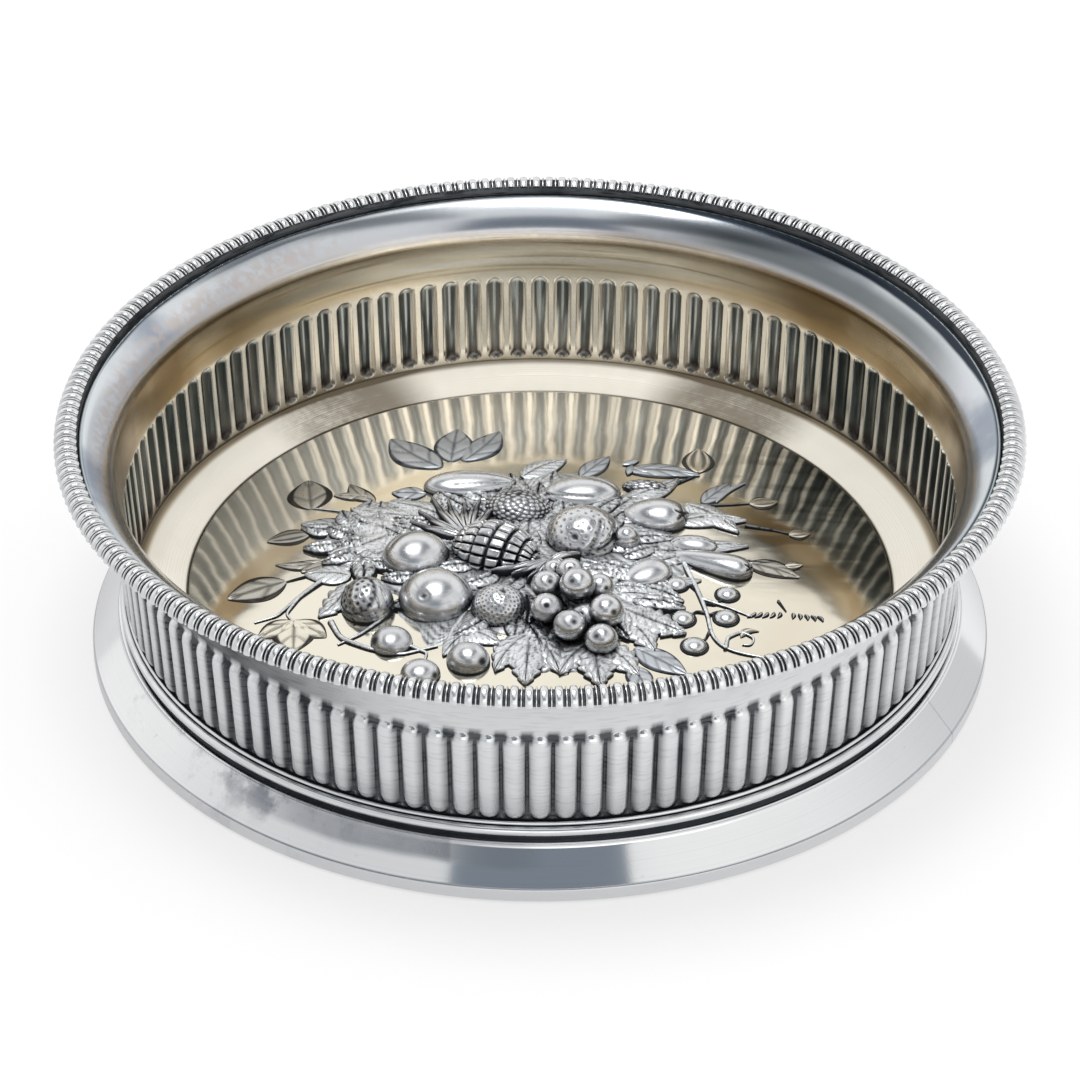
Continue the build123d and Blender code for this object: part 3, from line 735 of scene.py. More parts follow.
def borderPiece():
    # the section's radius follows beads and reels along the rim; the inner foot is a plain fillet
    unit = np.array(border["unit"])
    half = border["beadHalf"]
    core = border["section"] - border["grooveDepth"]
    bead = np.clip(1 - np.abs((unit - half) / half) ** 8, 0, 1) ** 0.5 * (unit < 2 * half)
    reel = np.clip(1 - np.abs((unit - border["reelAt"]) / border["reelHalf"]) ** 3, 0, 1) ** 0.5
    full = core + bead * (border["grooveDepth"] - border["barrel"] * ((unit - half) / half) ** 2)
    full = full + reel * (border["grooveDepth"] - border["reelDrop"])
    turn = (np.arange(border["units"])[:, None] + unit).reshape(-1) * 2 * pi / border["units"]
    over = np.array([*np.linspace(0, border["plainFrom"], border["roundPoints"]), border["plainBy"],
                     *border["filletAngles"]])[:, None]
    plain = smooth(over, border["plainFrom"], border["plainBy"])
    over = np.radians(over)
    full = np.tile(full, border["units"])[None]
    full = full + (core - full) * plain
    radius = border["radius"] + full * np.cos(over)
    z = border["seat"] + full * np.sin(over)
    points = np.stack([radius * np.cos(turn), radius * np.sin(turn), z], -1).reshape(-1, 3)
    raised = np.clip(np.tile(bead + reel, border["units"]) * 1.5, 0, 1)[None]
    # dark in the grooves between beads and reels, which is tarnish; the plain inner fillet is all dark,
    # painted shade under the border with its tarnish
    dark = np.maximum(border["grooveDark"] * (1 - raised), plain)
    makePiece("rimBorder", points, [ringFaces(len(over), len(turn), True)], borderSilver,
              "rim_border", dark=dark.reshape(-1), sharp=45.0)


borderPiece()

# Floor: a ring that slopes in to a shallow valley, then a low dome, over a thin sheet

floor = {"bore": 63.8, "edge": 10.9, "valleyRadius": 55.6, "valley": 9.7, "dome": 3.0, "gauge": 0.8,
         "soft": 0.10, "settle": 0.1, "dish": 1.8, "columns": 720, "domeRows": (1.5, 48, 40),
         "ringRows": (48.8, 63, 44), "lastRow": 63.4, "rippleEnd": 52, "rippleFade": 6}
domeCurve = (floor["valleyRadius"] ** 2 + floor["dome"] ** 2) / (2 * floor["dome"])


def floorHeight(x, y):
    # the higher of the dished ring and the dome, blended softly where they cross
    r = np.hypot(x, y)
    over = np.clip((r - floor["valleyRadius"]) / (floor["bore"] - floor["valleyRadius"]), 0, None)
    ring = floor["valley"] + (floor["edge"] - floor["valley"]) * over ** floor["dish"]
    dome = floor["valley"] + floor["dome"] - (domeCurve - np.sqrt(np.clip(domeCurve ** 2 - r ** 2, 0, None)))
    return np.logaddexp(ring / floor["soft"], dome / floor["soft"]) * floor["soft"] - floor["settle"]


def floorPiece():
    # rings of points on the floor's height with a faint hammered ripple, and a plainer sheet below them
    r = np.concatenate([np.linspace(*floor["domeRows"]), np.linspace(*floor["ringRows"]),
                        [floor["lastRow"], floor["bore"]]])
    a = around(floor["columns"])
    x, y = r[:, None] * np.cos(a), r[:, None] * np.sin(a)
    ripple = 0.010 * np.sin(x * 0.42 + 1.3) * np.sin(y * 0.37 + 0.4) + 0.006 * np.sin(x * 0.9 - y * 0.6)
    top = floorHeight(x, y) + ripple * np.clip((floor["rippleEnd"] - r) / floor["rippleFade"], 0, 1)[:, None]
    under = floorHeight(x, y)[::-4] - floor["gauge"]
    rows = np.concatenate([np.stack([x, y, top], -1), np.stack([x[::-4], y[::-4], under], -1)])
    crown = floorHeight(0.0, 0.0)
    points = np.concatenate([[(0, 0, crown)], rows.reshape(-1, 3), [(0, 0, crown - floor["gauge"])]])
    faces = [g[:, ::-1] for g in skinFaces(len(rows), floor["columns"])]
    makePiece("giltFloor", points, faces, gilt, "floor_plate", sharp=60.0)


floorPiece()

# Embossed work: every shape is rows of closed sections, pressed on to the floor so that nothing hangs below

sunk = 0.3  # how far the shapes reach into the floor


def facedOut(points, faces, shade):
    # turns the faces outwards by the sign of the volume
    big = max(faces, key=len)
    corner = points[big] - points.mean(0)
    volume = np.einsum("ij,ij->i", corner[:, 0], np.cross(corner[:, 1], corner[:, 2])).sum()
    if volume < 0:
        faces = [group[:, ::-1] for group in faces]
    return points, faces, shade


def skinOf(sections, dark):
    # closes both ends with one point
    rows, cols = sections.shape[:2]
    points = np.concatenate([sections[:1].mean(1), sections.reshape(-1, 3), sections[-1:].mean(1)])
    shade = np.concatenate([dark[:1].mean(1), dark.reshape(-1), dark[-1:].mean(1)])
    return facedOut(points, skinFaces(rows, cols), shade)


def embossed(name, shapes, material, sharp=60.0):
    # shapes joined into one piece of the floor
    points, faces, shade, offset = [], [], [], 0
    for p, groups, d in shapes:
        points.append(p)
        shade.append(d)
        faces += [group + offset for group in groups]
        offset += len(p)
    makePiece(name, np.concatenate(points), faces, material, "floor_plate", dark=np.concatenate(shade),
              sharp=sharp)


def spread(count, seed):
    # evenly scattered directions, nudged a little so that stippling isn't a lattice
    k = np.arange(count) + 0.5
    polar = np.arccos(1 - 2 * k / count)
    turnBy = pi * (1 + 5 ** 0.5) * k
    d = np.stack([np.cos(turnBy) * np.sin(polar), np.sin(turnBy) * np.sin(polar), np.cos(polar)], -1)
    d = d + np.random.default_rng(seed).normal(0, 0.25 / sqrt(count), d.shape)
    return d / np.linalg.norm(d, axis=1, keepdims=True)


def nearest(directions, marks):
    # angle to the closest mark
    marks = np.asarray(marks, float)
    marks = marks / np.linalg.norm(marks, axis=1, keepdims=True)
    return np.arccos(np.clip((directions @ marks.T).max(-1), -1, 1))


# depths and heights of marks as shares of a fruit's size, widths as angles
fruitMarks = {"spacing": 1.9, "pitDepth": 0.03, "pitDark": 0.95, "grainHeight": 0.045, "grainDark": 0.85,
              "netDark": 0.7, "rimDark": 0.8, "rimWidth": 0.07, "eyeDepth": 0.06, "creaseDepth": 0.05,
              "creaseWidth": 0.10, "creaseDark": 0.9, "creaseLine": 0.055, "starDepth": 0.05,
              "cellHeight": 0.18, "cellDrop": 0.06, "cellDark": 0.95, "strokeLines": 20, "strokeWidth": 0.4,
              "footDark": 0.85, "footEdge": (0.45, 0.10)}


def fruitForm(x, y, half, wide, tall, turnBy=0.0, rise=0.08, taper=0.0, neck=0.0, pits=0, pitSize=0.5,
              grains=0, patch=None, eyes=(), eyeSize=0.12, creases=(), star=None, cells=None, strokes=0.55,
              seed=1, rows=48, cols=80):
    # an egg of half-length, half-width and half-height, narrowing along its axis, its middle held above
    # the floor, with pits, raised grains, eyes, creases, a star or pineapple cells marked by direction
    look = fruitMarks
    a = np.linspace(0, pi, rows + 2)[1:-1][:, None]
    b = around(cols)[None]
    thick = np.sin(a) * (1 + taper * np.cos(a) + neck * np.cos(2 * a))
    ct, st = cos(radians(turnBy)), sin(radians(turnBy))
    alongAxis, acrossAxis, fz = np.cos(a) + 0 * b, np.sin(a) * np.cos(b), np.sin(a) * np.sin(b)
    fx, fy = alongAxis * ct - acrossAxis * st, alongAxis * st + acrossAxis * ct
    faced = np.stack([fx, fy, fz], -1)
    push = np.zeros((rows, cols))
    dark = np.zeros((rows, cols))
    inPatch = 1.0
    if patch is not None:
        rim = nearest(faced, [patch[:3]])
        inPatch = smooth(rim, patch[3] * 1.1, patch[3] * 0.9)
        net = np.abs(np.sin(13 * fx + 7 * fz) * np.sin(11 * fy - 9 * fz))
        dark += look["netDark"] * (1 - smooth(net, 0.02, 0.16)) * (1 - inPatch)
        dark += look["rimDark"] * bell(rim - patch[3], look["rimWidth"])
    if pits:
        gapTo = nearest(faced, spread(pits, seed))
        size = pitSize * look["spacing"] / sqrt(pits)
        push -= look["pitDepth"] * bell(gapTo, size) * inPatch
        dark += look["pitDark"] * bell(gapTo, size, 4) * inPatch
    if grains:
        gapTo = nearest(faced, spread(grains, seed))
        size = look["spacing"] / sqrt(grains)
        push += look["grainHeight"] * bell(gapTo, size * 0.55)
        dark += look["grainDark"] * smooth(gapTo, size * 0.5, size * 0.85)
    if len(eyes):
        gapTo = nearest(faced, eyes)
        push -= look["eyeDepth"] * bell(gapTo, eyeSize * 1.4)
        dark += bell(gapTo, eyeSize, 4)
    for first, last in creases:
        t = np.linspace(0, 1, 14)[:, None]
        gapTo = nearest(faced, (1 - t) * np.array(first) + t * np.array(last))
        push -= look["creaseDepth"] * bell(gapTo, look["creaseWidth"])
        dark += look["creaseDark"] * bell(gapTo, look["creaseLine"])
    if star is not None:
        axis = np.array(star[:3]) / np.linalg.norm(star[:3])
        flat = np.cross(axis, (0, 0, 1))
        flat = flat / np.linalg.norm(flat)
        about = np.arctan2(faced @ np.cross(axis, flat), faced @ flat)
        point = star[3] * (0.35 + 0.65 * np.abs(np.cos(2.5 * about)) ** 5)
        inside = smooth(nearest(faced, [axis]) / point, 1.15, 0.85)
        push -= look["starDepth"] * inside
        dark += inside
    if cells:
        across = np.abs(np.sin(cells[0] * b / 2 + 0.5 * np.cos(a)))
        along = np.abs(np.sin(cells[1] * a + 0.25 * np.sin(b)))
        block = np.minimum(smooth(across, 0.08, 0.55), smooth(along, 0.08, 0.55))
        push += look["cellHeight"] * block - look["cellDrop"]
        dark += look["cellDark"] * (1 - smooth(block, 0.05, 0.45))
    # level engraved strokes round the lower half
    low = np.arcsin(np.clip(fz, -1, 1))
    ripple = np.abs(np.sin(look["strokeLines"] * low + 1.1 * np.sin(3 * np.arctan2(fy, fx))))
    dark += strokes * bell(ripple, look["strokeWidth"]) * smooth(low, 0.75, 0.15)
    swell = 1 + push
    along = np.cos(a) * half * swell
    across = thick * np.cos(b) * wide * swell
    px = x + along * ct - across * st
    py = y + along * st + across * ct
    ground = floorHeight(px, py)
    pz = np.maximum(floorHeight(x, y) + tall * (rise + np.sin(b) * thick * swell), ground - sunk)
    dark = np.clip(dark + look["footDark"] * smooth(pz - ground, *look["footEdge"]), 0, 1)
    return skinOf(np.stack([px, py, pz], -1), dark)


def leafForm(base, tip, width, relief, teeth=0, veins=6, bow=0.0, full=0.75, veinDepth=0.16, rows=44, cols=44,
             lift=0.0, rim=0.86, contour=0.0, hatch=0.0):
    # a blade between two points: width follows a skewed sine, the face is crowned, with a sunk midrib and
    # side veins; its edge, a line within it and fine hatching are darkened
    u = np.linspace(0.0, 1.0, rows + 2)[1:-1][:, None]
    c = around(cols)[None]
    v = np.cos(c)
    out = np.abs(v)
    start, end = np.array(base, float), np.array(tip, float)
    run = end - start
    length = np.hypot(*run)
    ahead = run / length
    beside = np.array([-ahead[1], ahead[0]])
    outline = np.sin(pi * u ** full) ** 0.85
    if teeth:
        bite = np.abs((u * teeth) % 1.0 - 0.15)
        outline = outline * (1.0 - 0.26 * smooth(bite, 0.0, 0.85))
    half = width / 2 * outline
    centre = start + ahead * (u * length)[..., None] + beside * (bow * length * np.sin(pi * u))[..., None]
    px = centre[..., 0] + beside[0] * half * v
    py = centre[..., 1] + beside[1] * half * v
    crown = relief * (0.16 + 0.84 * np.sqrt(np.clip(1 - v ** 2, 0, 1)))
    crown = crown * (0.55 + 0.45 * np.sin(pi * u) ** 0.6)
    rib = bell(v, 0.09) * smooth(u, 0.0, 0.1) * (veins > 0)
    rays = np.abs(((u - 0.32 * out) * veins) % 1.0 - 0.5)
    side = bell(rays, 0.10) * smooth(out, 0.05, 0.2) * smooth(out, 1.0, 0.8) * (veins > 0)
    top = crown - veinDepth * relief * (1.3 * rib + side)
    upper = np.sin(c) >= -1e-9
    height = np.where(upper, top + lift, -sunk)
    edge = smooth(out, rim, rim + 0.12)
    inner = contour * bell(out - rim * 0.55, 0.12) * smooth(u, 0.05, 0.25) * smooth(u, 0.95, 0.8)
    fine = hatch * bell(np.sin(veins * 4 * pi * (u - 0.25 * out)), 0.5)
    # the underside is painted black, painted shade under the blade where it is lifted
    dark = np.clip(0.75 * rib + 0.6 * side + 0.95 * edge + inner + fine + (~upper) * 1.0, 0, 1)
    return skinOf(np.stack([px, py, floorHeight(px, py) + height], -1), dark)


def ringForm(x, y, reach, thick, rows=48, cols=10):
    # a fine round wire laid in a circle on the floor
    a = around(rows)[:, None]
    c = around(cols)[None]
    out = reach + thick * np.cos(c)
    px, py = x + out * np.cos(a), y + out * np.sin(a)
    points = np.stack([px, py, floorHeight(px, py) + 0.05 + thick * np.sin(c)], -1).reshape(-1, 3)
    return facedOut(points, [ringFaces(rows, cols, True)], np.ones(rows * cols))


def stemForm(path, thick, rows=60, cols=14, thin=0.35):
    # a tapering twig along a smooth path through the given points, half sunk in the floor
    knots = np.array(path, float)
    reachTo = np.concatenate([[0], np.cumsum(np.hypot(*np.diff(knots, axis=0).T))])
    t = np.linspace(0, reachTo[-1], rows)
    line = np.stack([np.interp(t, reachTo, knots[:, 0]), np.interp(t, reachTo, knots[:, 1])], -1)
    kernel = np.hanning(max(5, rows // 5 | 1) + 2)[1:-1]
    ends = len(kernel) // 2
    padded = np.concatenate([np.repeat(line[:1], ends, 0), line, np.repeat(line[-1:], ends, 0)])
    line = np.stack([np.convolve(padded[:, k], kernel / kernel.sum(), "valid") for k in (0, 1)], -1)
    ahead = np.gradient(line, axis=0)
    ahead = ahead / np.linalg.norm(ahead, axis=1, keepdims=True)
    c = around(cols)[None]
    radius = (thick * np.linspace(1.0, thin, rows))[:, None]
    px = line[:, :1] - ahead[:, 1:] * radius * np.cos(c)
    py = line[:, 1:] + ahead[:, :1] * radius * np.cos(c)
    ground = floorHeight(px, py)
    pz = np.maximum(ground + radius * np.sin(c) + 0.1, ground - sunk)
    # the top of each twig stays light and its sides and foot are darkened, painted shade with the tarnish of
    # the crevice; thin twigs are all dark
    dark = np.maximum(smooth(np.sin(c), 0.85, 0.25), 0.85 * (thick < 0.35)) + 0 * radius
    return skinOf(np.stack([px, py, pz], -1), dark)


# Bed of small leaves under the fruit, with two lesser ones at the left and the front

leafBed = {"x": -1.5, "y": 1.5, "halfX": 25.0, "halfY": 24.0, "tall": 0.5, "rows": 50, "columns": 300,
           "leaves": 84, "leafLength": 7.5, "leafWidth": 4.2, "spiral": 2.39996, "within": 0.80,
           "tone": 0.30, "hatchTone": 0.35, "hatchHeight": 0.06, "settle": 0.05, "depth": 0.35}
leftBed = dict(leafBed, x=-25.5, y=8.0, halfX=9.5, halfY=10.0, rows=24, columns=160, leaves=22,
               leafLength=6.0)
frontBed = dict(leafBed, x=3.0, y=-24.2, halfX=4.4, halfY=4.6, rows=12, columns=80)


def bedForm(bed):
    # low dark mound with a wavy outline and fine hatching
    a = around(bed["columns"])
    edge = 1 + 0.10 * np.sin(5 * a + 0.7) + 0.07 * np.sin(9 * a + 2.0) + 0.05 * np.sin(17 * a)
    r = np.linspace(0.02, 1.0, bed["rows"])[:, None]
    px = bed["x"] + bed["halfX"] * r * edge * np.cos(a)
    py = bed["y"] + bed["halfY"] * r * edge * np.sin(a)
    hatch = np.sin(px * 4.0 + py * 3.0 + 2.0 * np.sin(px * 0.7))
    ground = floorHeight(px, py)
    top = ground + (bed["tall"] + bed["hatchHeight"] * hatch) * smooth(r, 1.0, 0.86) - bed["settle"]
    dark = bed["tone"] + bed["hatchTone"] * hatch
    under = np.stack([px[::-8], py[::-8], ground[::-8] - bed["depth"]], -1)
    sections = np.concatenate([np.stack([px, py, top], -1), under])
    return skinOf(sections, np.concatenate([dark, dark[::-8] * 0 + 1]))


def fillerLeaves(bed):
    # small leaves on a widening spiral about the middle of the bed, pointing outwards with a little sway
    k = np.arange(bed["leaves"]) + 0.5
    turn = k * bed["spiral"]
    out = np.sqrt(k / bed["leaves"])
    sway = turn + 0.5 * np.sin(3.7 * k)
    length = bed["leafLength"] * (0.8 + 0.4 * np.abs(np.sin(1.9 * k)))
    bx = bed["x"] + bed["halfX"] * bed["within"] * out * np.cos(turn)
    by = bed["y"] + bed["halfY"] * bed["within"] * out * np.sin(turn)
    tx, ty = bx + length * np.cos(sway), by + length * np.sin(sway)
    return [leafForm((bx[n], by[n]), (tx[n], ty[n]), bed["leafWidth"], 1.0 + 0.3 * sin(2.3 * n), 0, 6, 0.05,
                     veinDepth=0.3, rows=26, cols=28, rim=0.80, hatch=0.4) for n in range(bed["leaves"])]


beds = [bedForm(bed) for bed in (leafBed, leftBed, frontBed)]
embossed("leafBed", beds + fillerLeaves(leafBed) + fillerLeaves(leftBed), chased)

# Smooth fruit: middle, half-sizes, turn, then what marks it
smoothFruit = [
    dict(x=-19.6, y=1.6, half=5.4, wide=4.9, tall=4.0, turnBy=20,
         creases=[((-0.75, -0.1, 0.65), (-0.2, 0.45, 0.85))]),
    dict(x=-16.2, y=-10.2, half=5.9, wide=5.8, tall=4.7, turnBy=15, eyes=[(-0.30, -0.60, 0.68)],
         eyeSize=0.09, creases=[((0.5, 0.35, 0.8), (0.85, 0.0, 0.5))]),
    dict(x=-22.9, y=-20.6, half=3.3, wide=3.2, tall=2.3, turnBy=30, eyes=[(-0.85, -0.3, 0.5)], eyeSize=0.3),
    dict(x=-18.3, y=-28.7, half=3.1, wide=3.0, tall=2.1, turnBy=10, eyes=[(0.8, -0.5, 0.4)], eyeSize=0.22),
    dict(x=-11.0, y=-25.8, half=3.4, wide=3.2, tall=2.9, turnBy=-20, eyes=[(0.7, -0.6, 0.45)],
         eyeSize=0.24),
    dict(x=6.7, y=20.0, half=6.3, wide=3.9, tall=2.6, turnBy=2, taper=0.06, strokes=0.8,
         creases=[((-0.95, -0.2, 0.3), (0.3, -0.75, 0.6)), ((0.2, 0.3, 0.9), (0.98, -0.1, 0.3))]),
    dict(x=-11.2, y=23.0, half=7.6, wide=3.2, tall=2.2, turnBy=4, taper=-0.15, strokes=0.8,
         creases=[((-0.3, -0.6, 0.7), (0.98, -0.1, 0.3)), ((-0.2, 0.2, 0.95), (0.95, 0.15, 0.4))]),
    dict(x=18.4, y=13.4, half=5.3, wide=3.8, tall=2.9, turnBy=172, taper=-0.16,
         star=(0.9, -0.25, 0.5, 0.42)),
    dict(x=16.8, y=-3.0, half=4.2, wide=3.3, tall=2.0, turnBy=35, taper=0.15, strokes=0.7),
    dict(x=24.4, y=5.6, half=3.9, wide=2.2, tall=1.6, turnBy=-10,
         creases=[((-0.9, 0, 0.4), (0.9, 0, 0.4))]),
    dict(x=27.0, y=0.6, half=6.9, wide=2.7, tall=2.2, turnBy=-22, taper=0.34, neck=0.14, strokes=0.7,
         star=(0.9, -0.36, 0.3, 0.3)),
    dict(x=13.7, y=5.2, half=2.2, wide=2.1, tall=2.6, rise=0.35,
         creases=[((-0.8, -0.5, 0.4), (0.8, -0.5, 0.4))]),
]
embossed("smoothFruit", [fruitForm(**fruit) for fruit in smoothFruit], satin, sharp=70.0)

# Pricked fruit: melon with its dotted patch, strawberry, raspberry, quince and a seed spray
prickedFruit = [
    dict(x=-26.9, y=-10.8, half=4.2, wide=4.6, tall=4.4, pits=190, pitSize=0.6,
         patch=(-0.45, -0.35, 0.82, 0.80), seed=3, rows=72, cols=120),
    dict(x=-6.3, y=-13.0, half=4.4, wide=4.3, tall=4.1, pits=420, pitSize=0.46, eyes=[(0.15, -0.1, 0.98)],
         seed=4, rows=80, cols=130),
    dict(x=-3.6, y=15.4, half=5.2, wide=4.2, tall=2.6, turnBy=-8, grains=300, seed=5, rows=80, cols=130),
    dict(x=6.9, y=6.9, half=6.1, wide=5.9, tall=4.9, turnBy=-20, pits=240, pitSize=0.30, seed=6, rows=80,
         cols=130, eyes=[(-0.25, -0.72, 0.62), (0.86, -0.4, 0.4)], eyeSize=0.11,
         creases=[((0.45, -0.2, 0.85), (0.1, -0.95, 0.1)), ((0.8, -0.45, 0.35), (0.35, -0.9, 0.2))]),
    dict(x=17.1, y=22.6, half=3.8, wide=1.6, tall=1.3, turnBy=-8, grains=110, seed=7, rows=56, cols=84),
]
embossed("prickedFruit", [fruitForm(**fruit) for fruit in prickedFruit], satin, sharp=80.0)

# Pineapple: rows of raised cells, a tuft of narrow leaves and a frond at its foot
pineapple = dict(x=-7.0, y=2.4, half=6.5, wide=5.0, tall=4.6, turnBy=-24, cells=(19, 8.0), strokes=0.0,
                 rows=130, cols=220)
tuft = {"base": (-11.0, 5.6), "width": 2.0, "relief": 1.7, "bow": 0.05, "lift": 0.3, "tips": [
    (-17.4, 18.6), (-14.8, 18.4), (-12.0, 16.6), (-9.4, 17.6), (-19.6, 14.4), (-7.2, 14.6), (-21.0, 11.2)]}
frond = {"base": (1.6, -1.4), "width": 1.7, "relief": 1.6, "bow": 0.06, "lift": 0.8, "tips": [
    (-4.6, -5.2), (-2.0, -6.4), (6.4, 0.6), (4.6, -3.4), (-7.8, -4.0), (1.4, -6.0)]}
blades = [leafForm(spray["base"], tip, spray["width"], spray["relief"], veins=1, full=0.6, bow=spray["bow"],
                   lift=spray["lift"], rim=0.7) for spray in (tuft, frond) for tip in spray["tips"]]
embossed("pineapple", [fruitForm(**pineapple)] + blades, satin, sharp=80.0)

# Bunch of grapes, each with the dot of its stalk; the loose berries of the sprig have a dark line round
# them: middle, radius, then for the bunch how high it is held
grapes = [
    (1.0, -10.4, 2.4, 1.5), (5.8, -12.5, 2.8, 1.9), (1.0, -16.2, 2.5, 1.3), (10.2, -17.2, 2.8, 1.3),
    (4.6, -20.4, 2.6, 1.2), (9.4, -22.9, 2.6, 0.9), (4.7, -6.7, 2.2, 1.6), (9.3, -10.7, 2.3, 1.5),
    (2.2, -4.6, 1.8, 1.2), (7.0, -16.8, 2.3, 0.9),
]
sprig = [
    (21.4, -5.4, 1.75), (29.3, -7.5, 1.75), (22.2, -14.5, 1.85), (28.9, -13.8, 1.85),
    (23.8, -21.4, 1.95),
]
dots = np.array([(0.25, -0.6, 0.75), (-0.30, -0.6, 0.72), (0.0, -0.65, 0.75), (0.45, -0.75, 0.45)])
bunch = [fruitForm(x, y, r, r, r * 0.9, 12 * k, rise=lift, eyes=dots[k % 4:k % 4 + 1], eyeSize=0.20,
                   strokes=0.2, rows=36, cols=56) for k, (x, y, r, lift) in enumerate(grapes)]
berries = [fruitForm(x, y, r, r, r * 0.6, strokes=0.0, rows=28, cols=44) for x, y, r in sprig]
outlines = [ringForm(x, y, r + 0.12, 0.22) for x, y, r in sprig]
embossed("grapes", bunch + berries + outlines, satin, sharp=70.0)

# Raised leaves, some toothed: base, tip, width, relief, teeth, veins, bow
raisedLeaves = [
    ((12.6, -12.4), (22.8, -18.6), 7.8, 1.5, 7, 7, -0.05),
    ((12.5, -14.5), (17.7, -23.2), 6.0, 1.3, 6, 6, 0.05),
    ((12.0, -8.5), (20.8, -11.0), 4.6, 1.2, 5, 6, 0.08),
    ((-1.5, -19.2), (-2.3, -32.0), 7.0, 1.6, 7, 6, 0.0),
    ((-1.5, -19.2), (-7.0, -28.6), 5.6, 1.4, 6, 5, -0.06),
    ((-1.5, -19.2), (3.0, -29.0), 5.6, 1.4, 6, 5, 0.06),
    ((8.2, -21.2), (9.2, -32.2), 7.2, 1.6, 7, 6, 0.0),
    ((8.2, -21.2), (2.9, -29.4), 5.6, 1.4, 6, 5, -0.06),
    ((8.2, -21.2), (15.2, -29.6), 6.0, 1.4, 6, 5, 0.06),
    ((-22.0, 10.0), (-33.8, 3.6), 6.6, 1.3, 0, 9, 0.08),
    ((-21.5, 8.0), (-33.0, 13.4), 7.0, 1.3, 0, 9, -0.06),
    ((-22.5, 5.0), (-31.5, 0.6), 5.2, 1.2, 0, 8, 0.06),
    ((23.2, 17.8), (31.8, 9.8), 5.0, 1.2, 0, 8, 0.05),
    ((21.5, 12.0), (33.2, 13.6), 4.6, 1.2, 0, 8, 0.08),
    ((-13.2, -17.3), (-6.0, -21.8), 5.2, 1.1, 0, 7, 0.05),
    ((-30.2, -4.8), (-34.6, -13.4), 5.4, 1.1, 4, 6, 0.1),
    ((-29.6, -2.6), (-37.2, -1.6), 5.4, 1.0, 0, 6, -0.05),
    ((22.0, 3.6), (33.4, 6.2), 3.8, 1.1, 0, 7, 0.06),
    ((-14.0, 12.0), (-24.6, 18.4), 5.4, 1.3, 0, 9, -0.05),
    ((-19.5, 13.5), (-30.6, 17.0), 5.0, 1.2, 0, 8, 0.05),
    ((14.0, 19.0), (22.6, 25.6), 4.6, 1.2, 0, 7, -0.05),
    ((-3.0, 25.0), (4.4, 31.0), 5.0, 1.2, 0, 7, 0.05),
    ((-10.0, -17.5), (-15.0, -24.5), 4.0, 1.0, 0, 6, -0.05),
    ((18.0, -7.5), (25.5, -4.0), 3.4, 0.9, 0, 6, 0.1),
]
embossed("raisedLeaves", [leafForm(base, tip, width, relief * 0.7, teeth, veins, bow, hatch=0.15, rim=0.91)
                          for base, tip, width, relief, teeth, veins, bow in raisedLeaves], chased)

# Flat matted leaves at the back: base, tip, width, veins, bow
mattedLeaves = [
    ((-16.0, 29.0), (-24.6, 39.4), 7.0, 3, 0.06), ((-14.5, 31.0), (-13.6, 42.0), 6.6, 3, 0.0),
    ((-12.5, 31.0), (-6.6, 41.0), 5.8, 3, -0.05), ((-18.3, 20.8), (-24.0, 21.6), 4.2, 2, 0.0),
    ((6.5, 25.6), (11.4, 32.6), 4.0, 3, 0.0), ((13.8, 28.2), (26.2, 27.2), 4.6, 4, 0.05),
    ((26.0, 18.4), (30.8, 25.0), 3.6, 3, 0.0), ((28.2, 18.6), (33.4, 25.4), 1.4, 0, 0.1),
    ((-30.0, 12.6), (-38.4, 13.4), 4.4, 4, 0.05), ((14.4, -22.2), (22.6, -28.6), 5.2, 4, 0.0),
    ((14.0, -26.6), (16.6, -33.0), 4.2, 3, 0.0), ((13.4, 29.8), (16.2, 31.4), 1.6, 0, 0.0),
    ((15.2, 29.2), (17.8, 27.4), 1.6, 0, 0.0), ((15.0, 29.6), (14.2, 26.6), 1.6, 0, 0.0),
]
embossed("mattedLeaves", [leafForm(base, tip, width, 0.45, 0, veins, bow, full=0.85, veinDepth=0.3, rim=0.76)
                          for base, tip, width, veins, bow in mattedLeaves], frosted)

# Chased leaves and buds with a dark outline, matted grey or left in the gilding: base, tip, width, veins, bow
greyLeaves = [
    ((-26.5, 19.2), (-30.8, 25.0), 3.6, 2, 0.1), ((-27.2, 20.6), (-33.4, 21.6), 2.8, 2, 0.0),
    ((-36.7, 17.6), (-37.6, 27.0), 7.4, 2, 0.0), ((-36.4, 10.4), (-43.6, 8.8), 4.6, 0, 0.0),
    ((32.4, 1.6), (41.0, -1.8), 4.8, 3, 0.05), ((-32.4, 1.6), (-37.8, -0.6), 3.6, 2, 0.0),
    ((-33.8, 2.4), (-42.0, 2.0), 2.8, 2, 0.12), ((-39.8, -2.8), (-49.2, -6.6), 6.8, 2, 0.0),
]
drawnLeaves = [
    ((25.6, 28.0), (26.0, 36.2), 5.4, 0, 0.0), ((33.6, 19.0), (38.4, 20.2), 3.8, 0, 0.0),
    ((39.6, 10.4), (43.2, 11.2), 3.2, 0, 0.0), ((38.6, 1.2), (41.6, 2.0), 2.4, 0, 0.0),
    ((-38.2, -13.2), (-38.0, -21.8), 7.0, 3, 0.0), ((-38.2, -13.6), (-43.8, -17.6), 4.6, 2, 0.0),
    ((-38.2, -13.6), (-33.0, -18.4), 4.6, 2, 0.0), ((31.0, -18.6), (34.0, -16.8), 1.6, 0, 0.25),
]
for name, leaves, finish in (("chasedLeaves", greyLeaves, chasedGrey),
                             ("drawnLeaves", drawnLeaves, chasedGilt)):
    outlined = [leafForm(base, tip, width, 0.32, 0, veins, bow, full=0.85, veinDepth=0.3, rim=0.64,
                         contour=1.0 * (veins == 0)) for base, tip, width, veins, bow in leaves]
    embossed(name, outlined, finish)

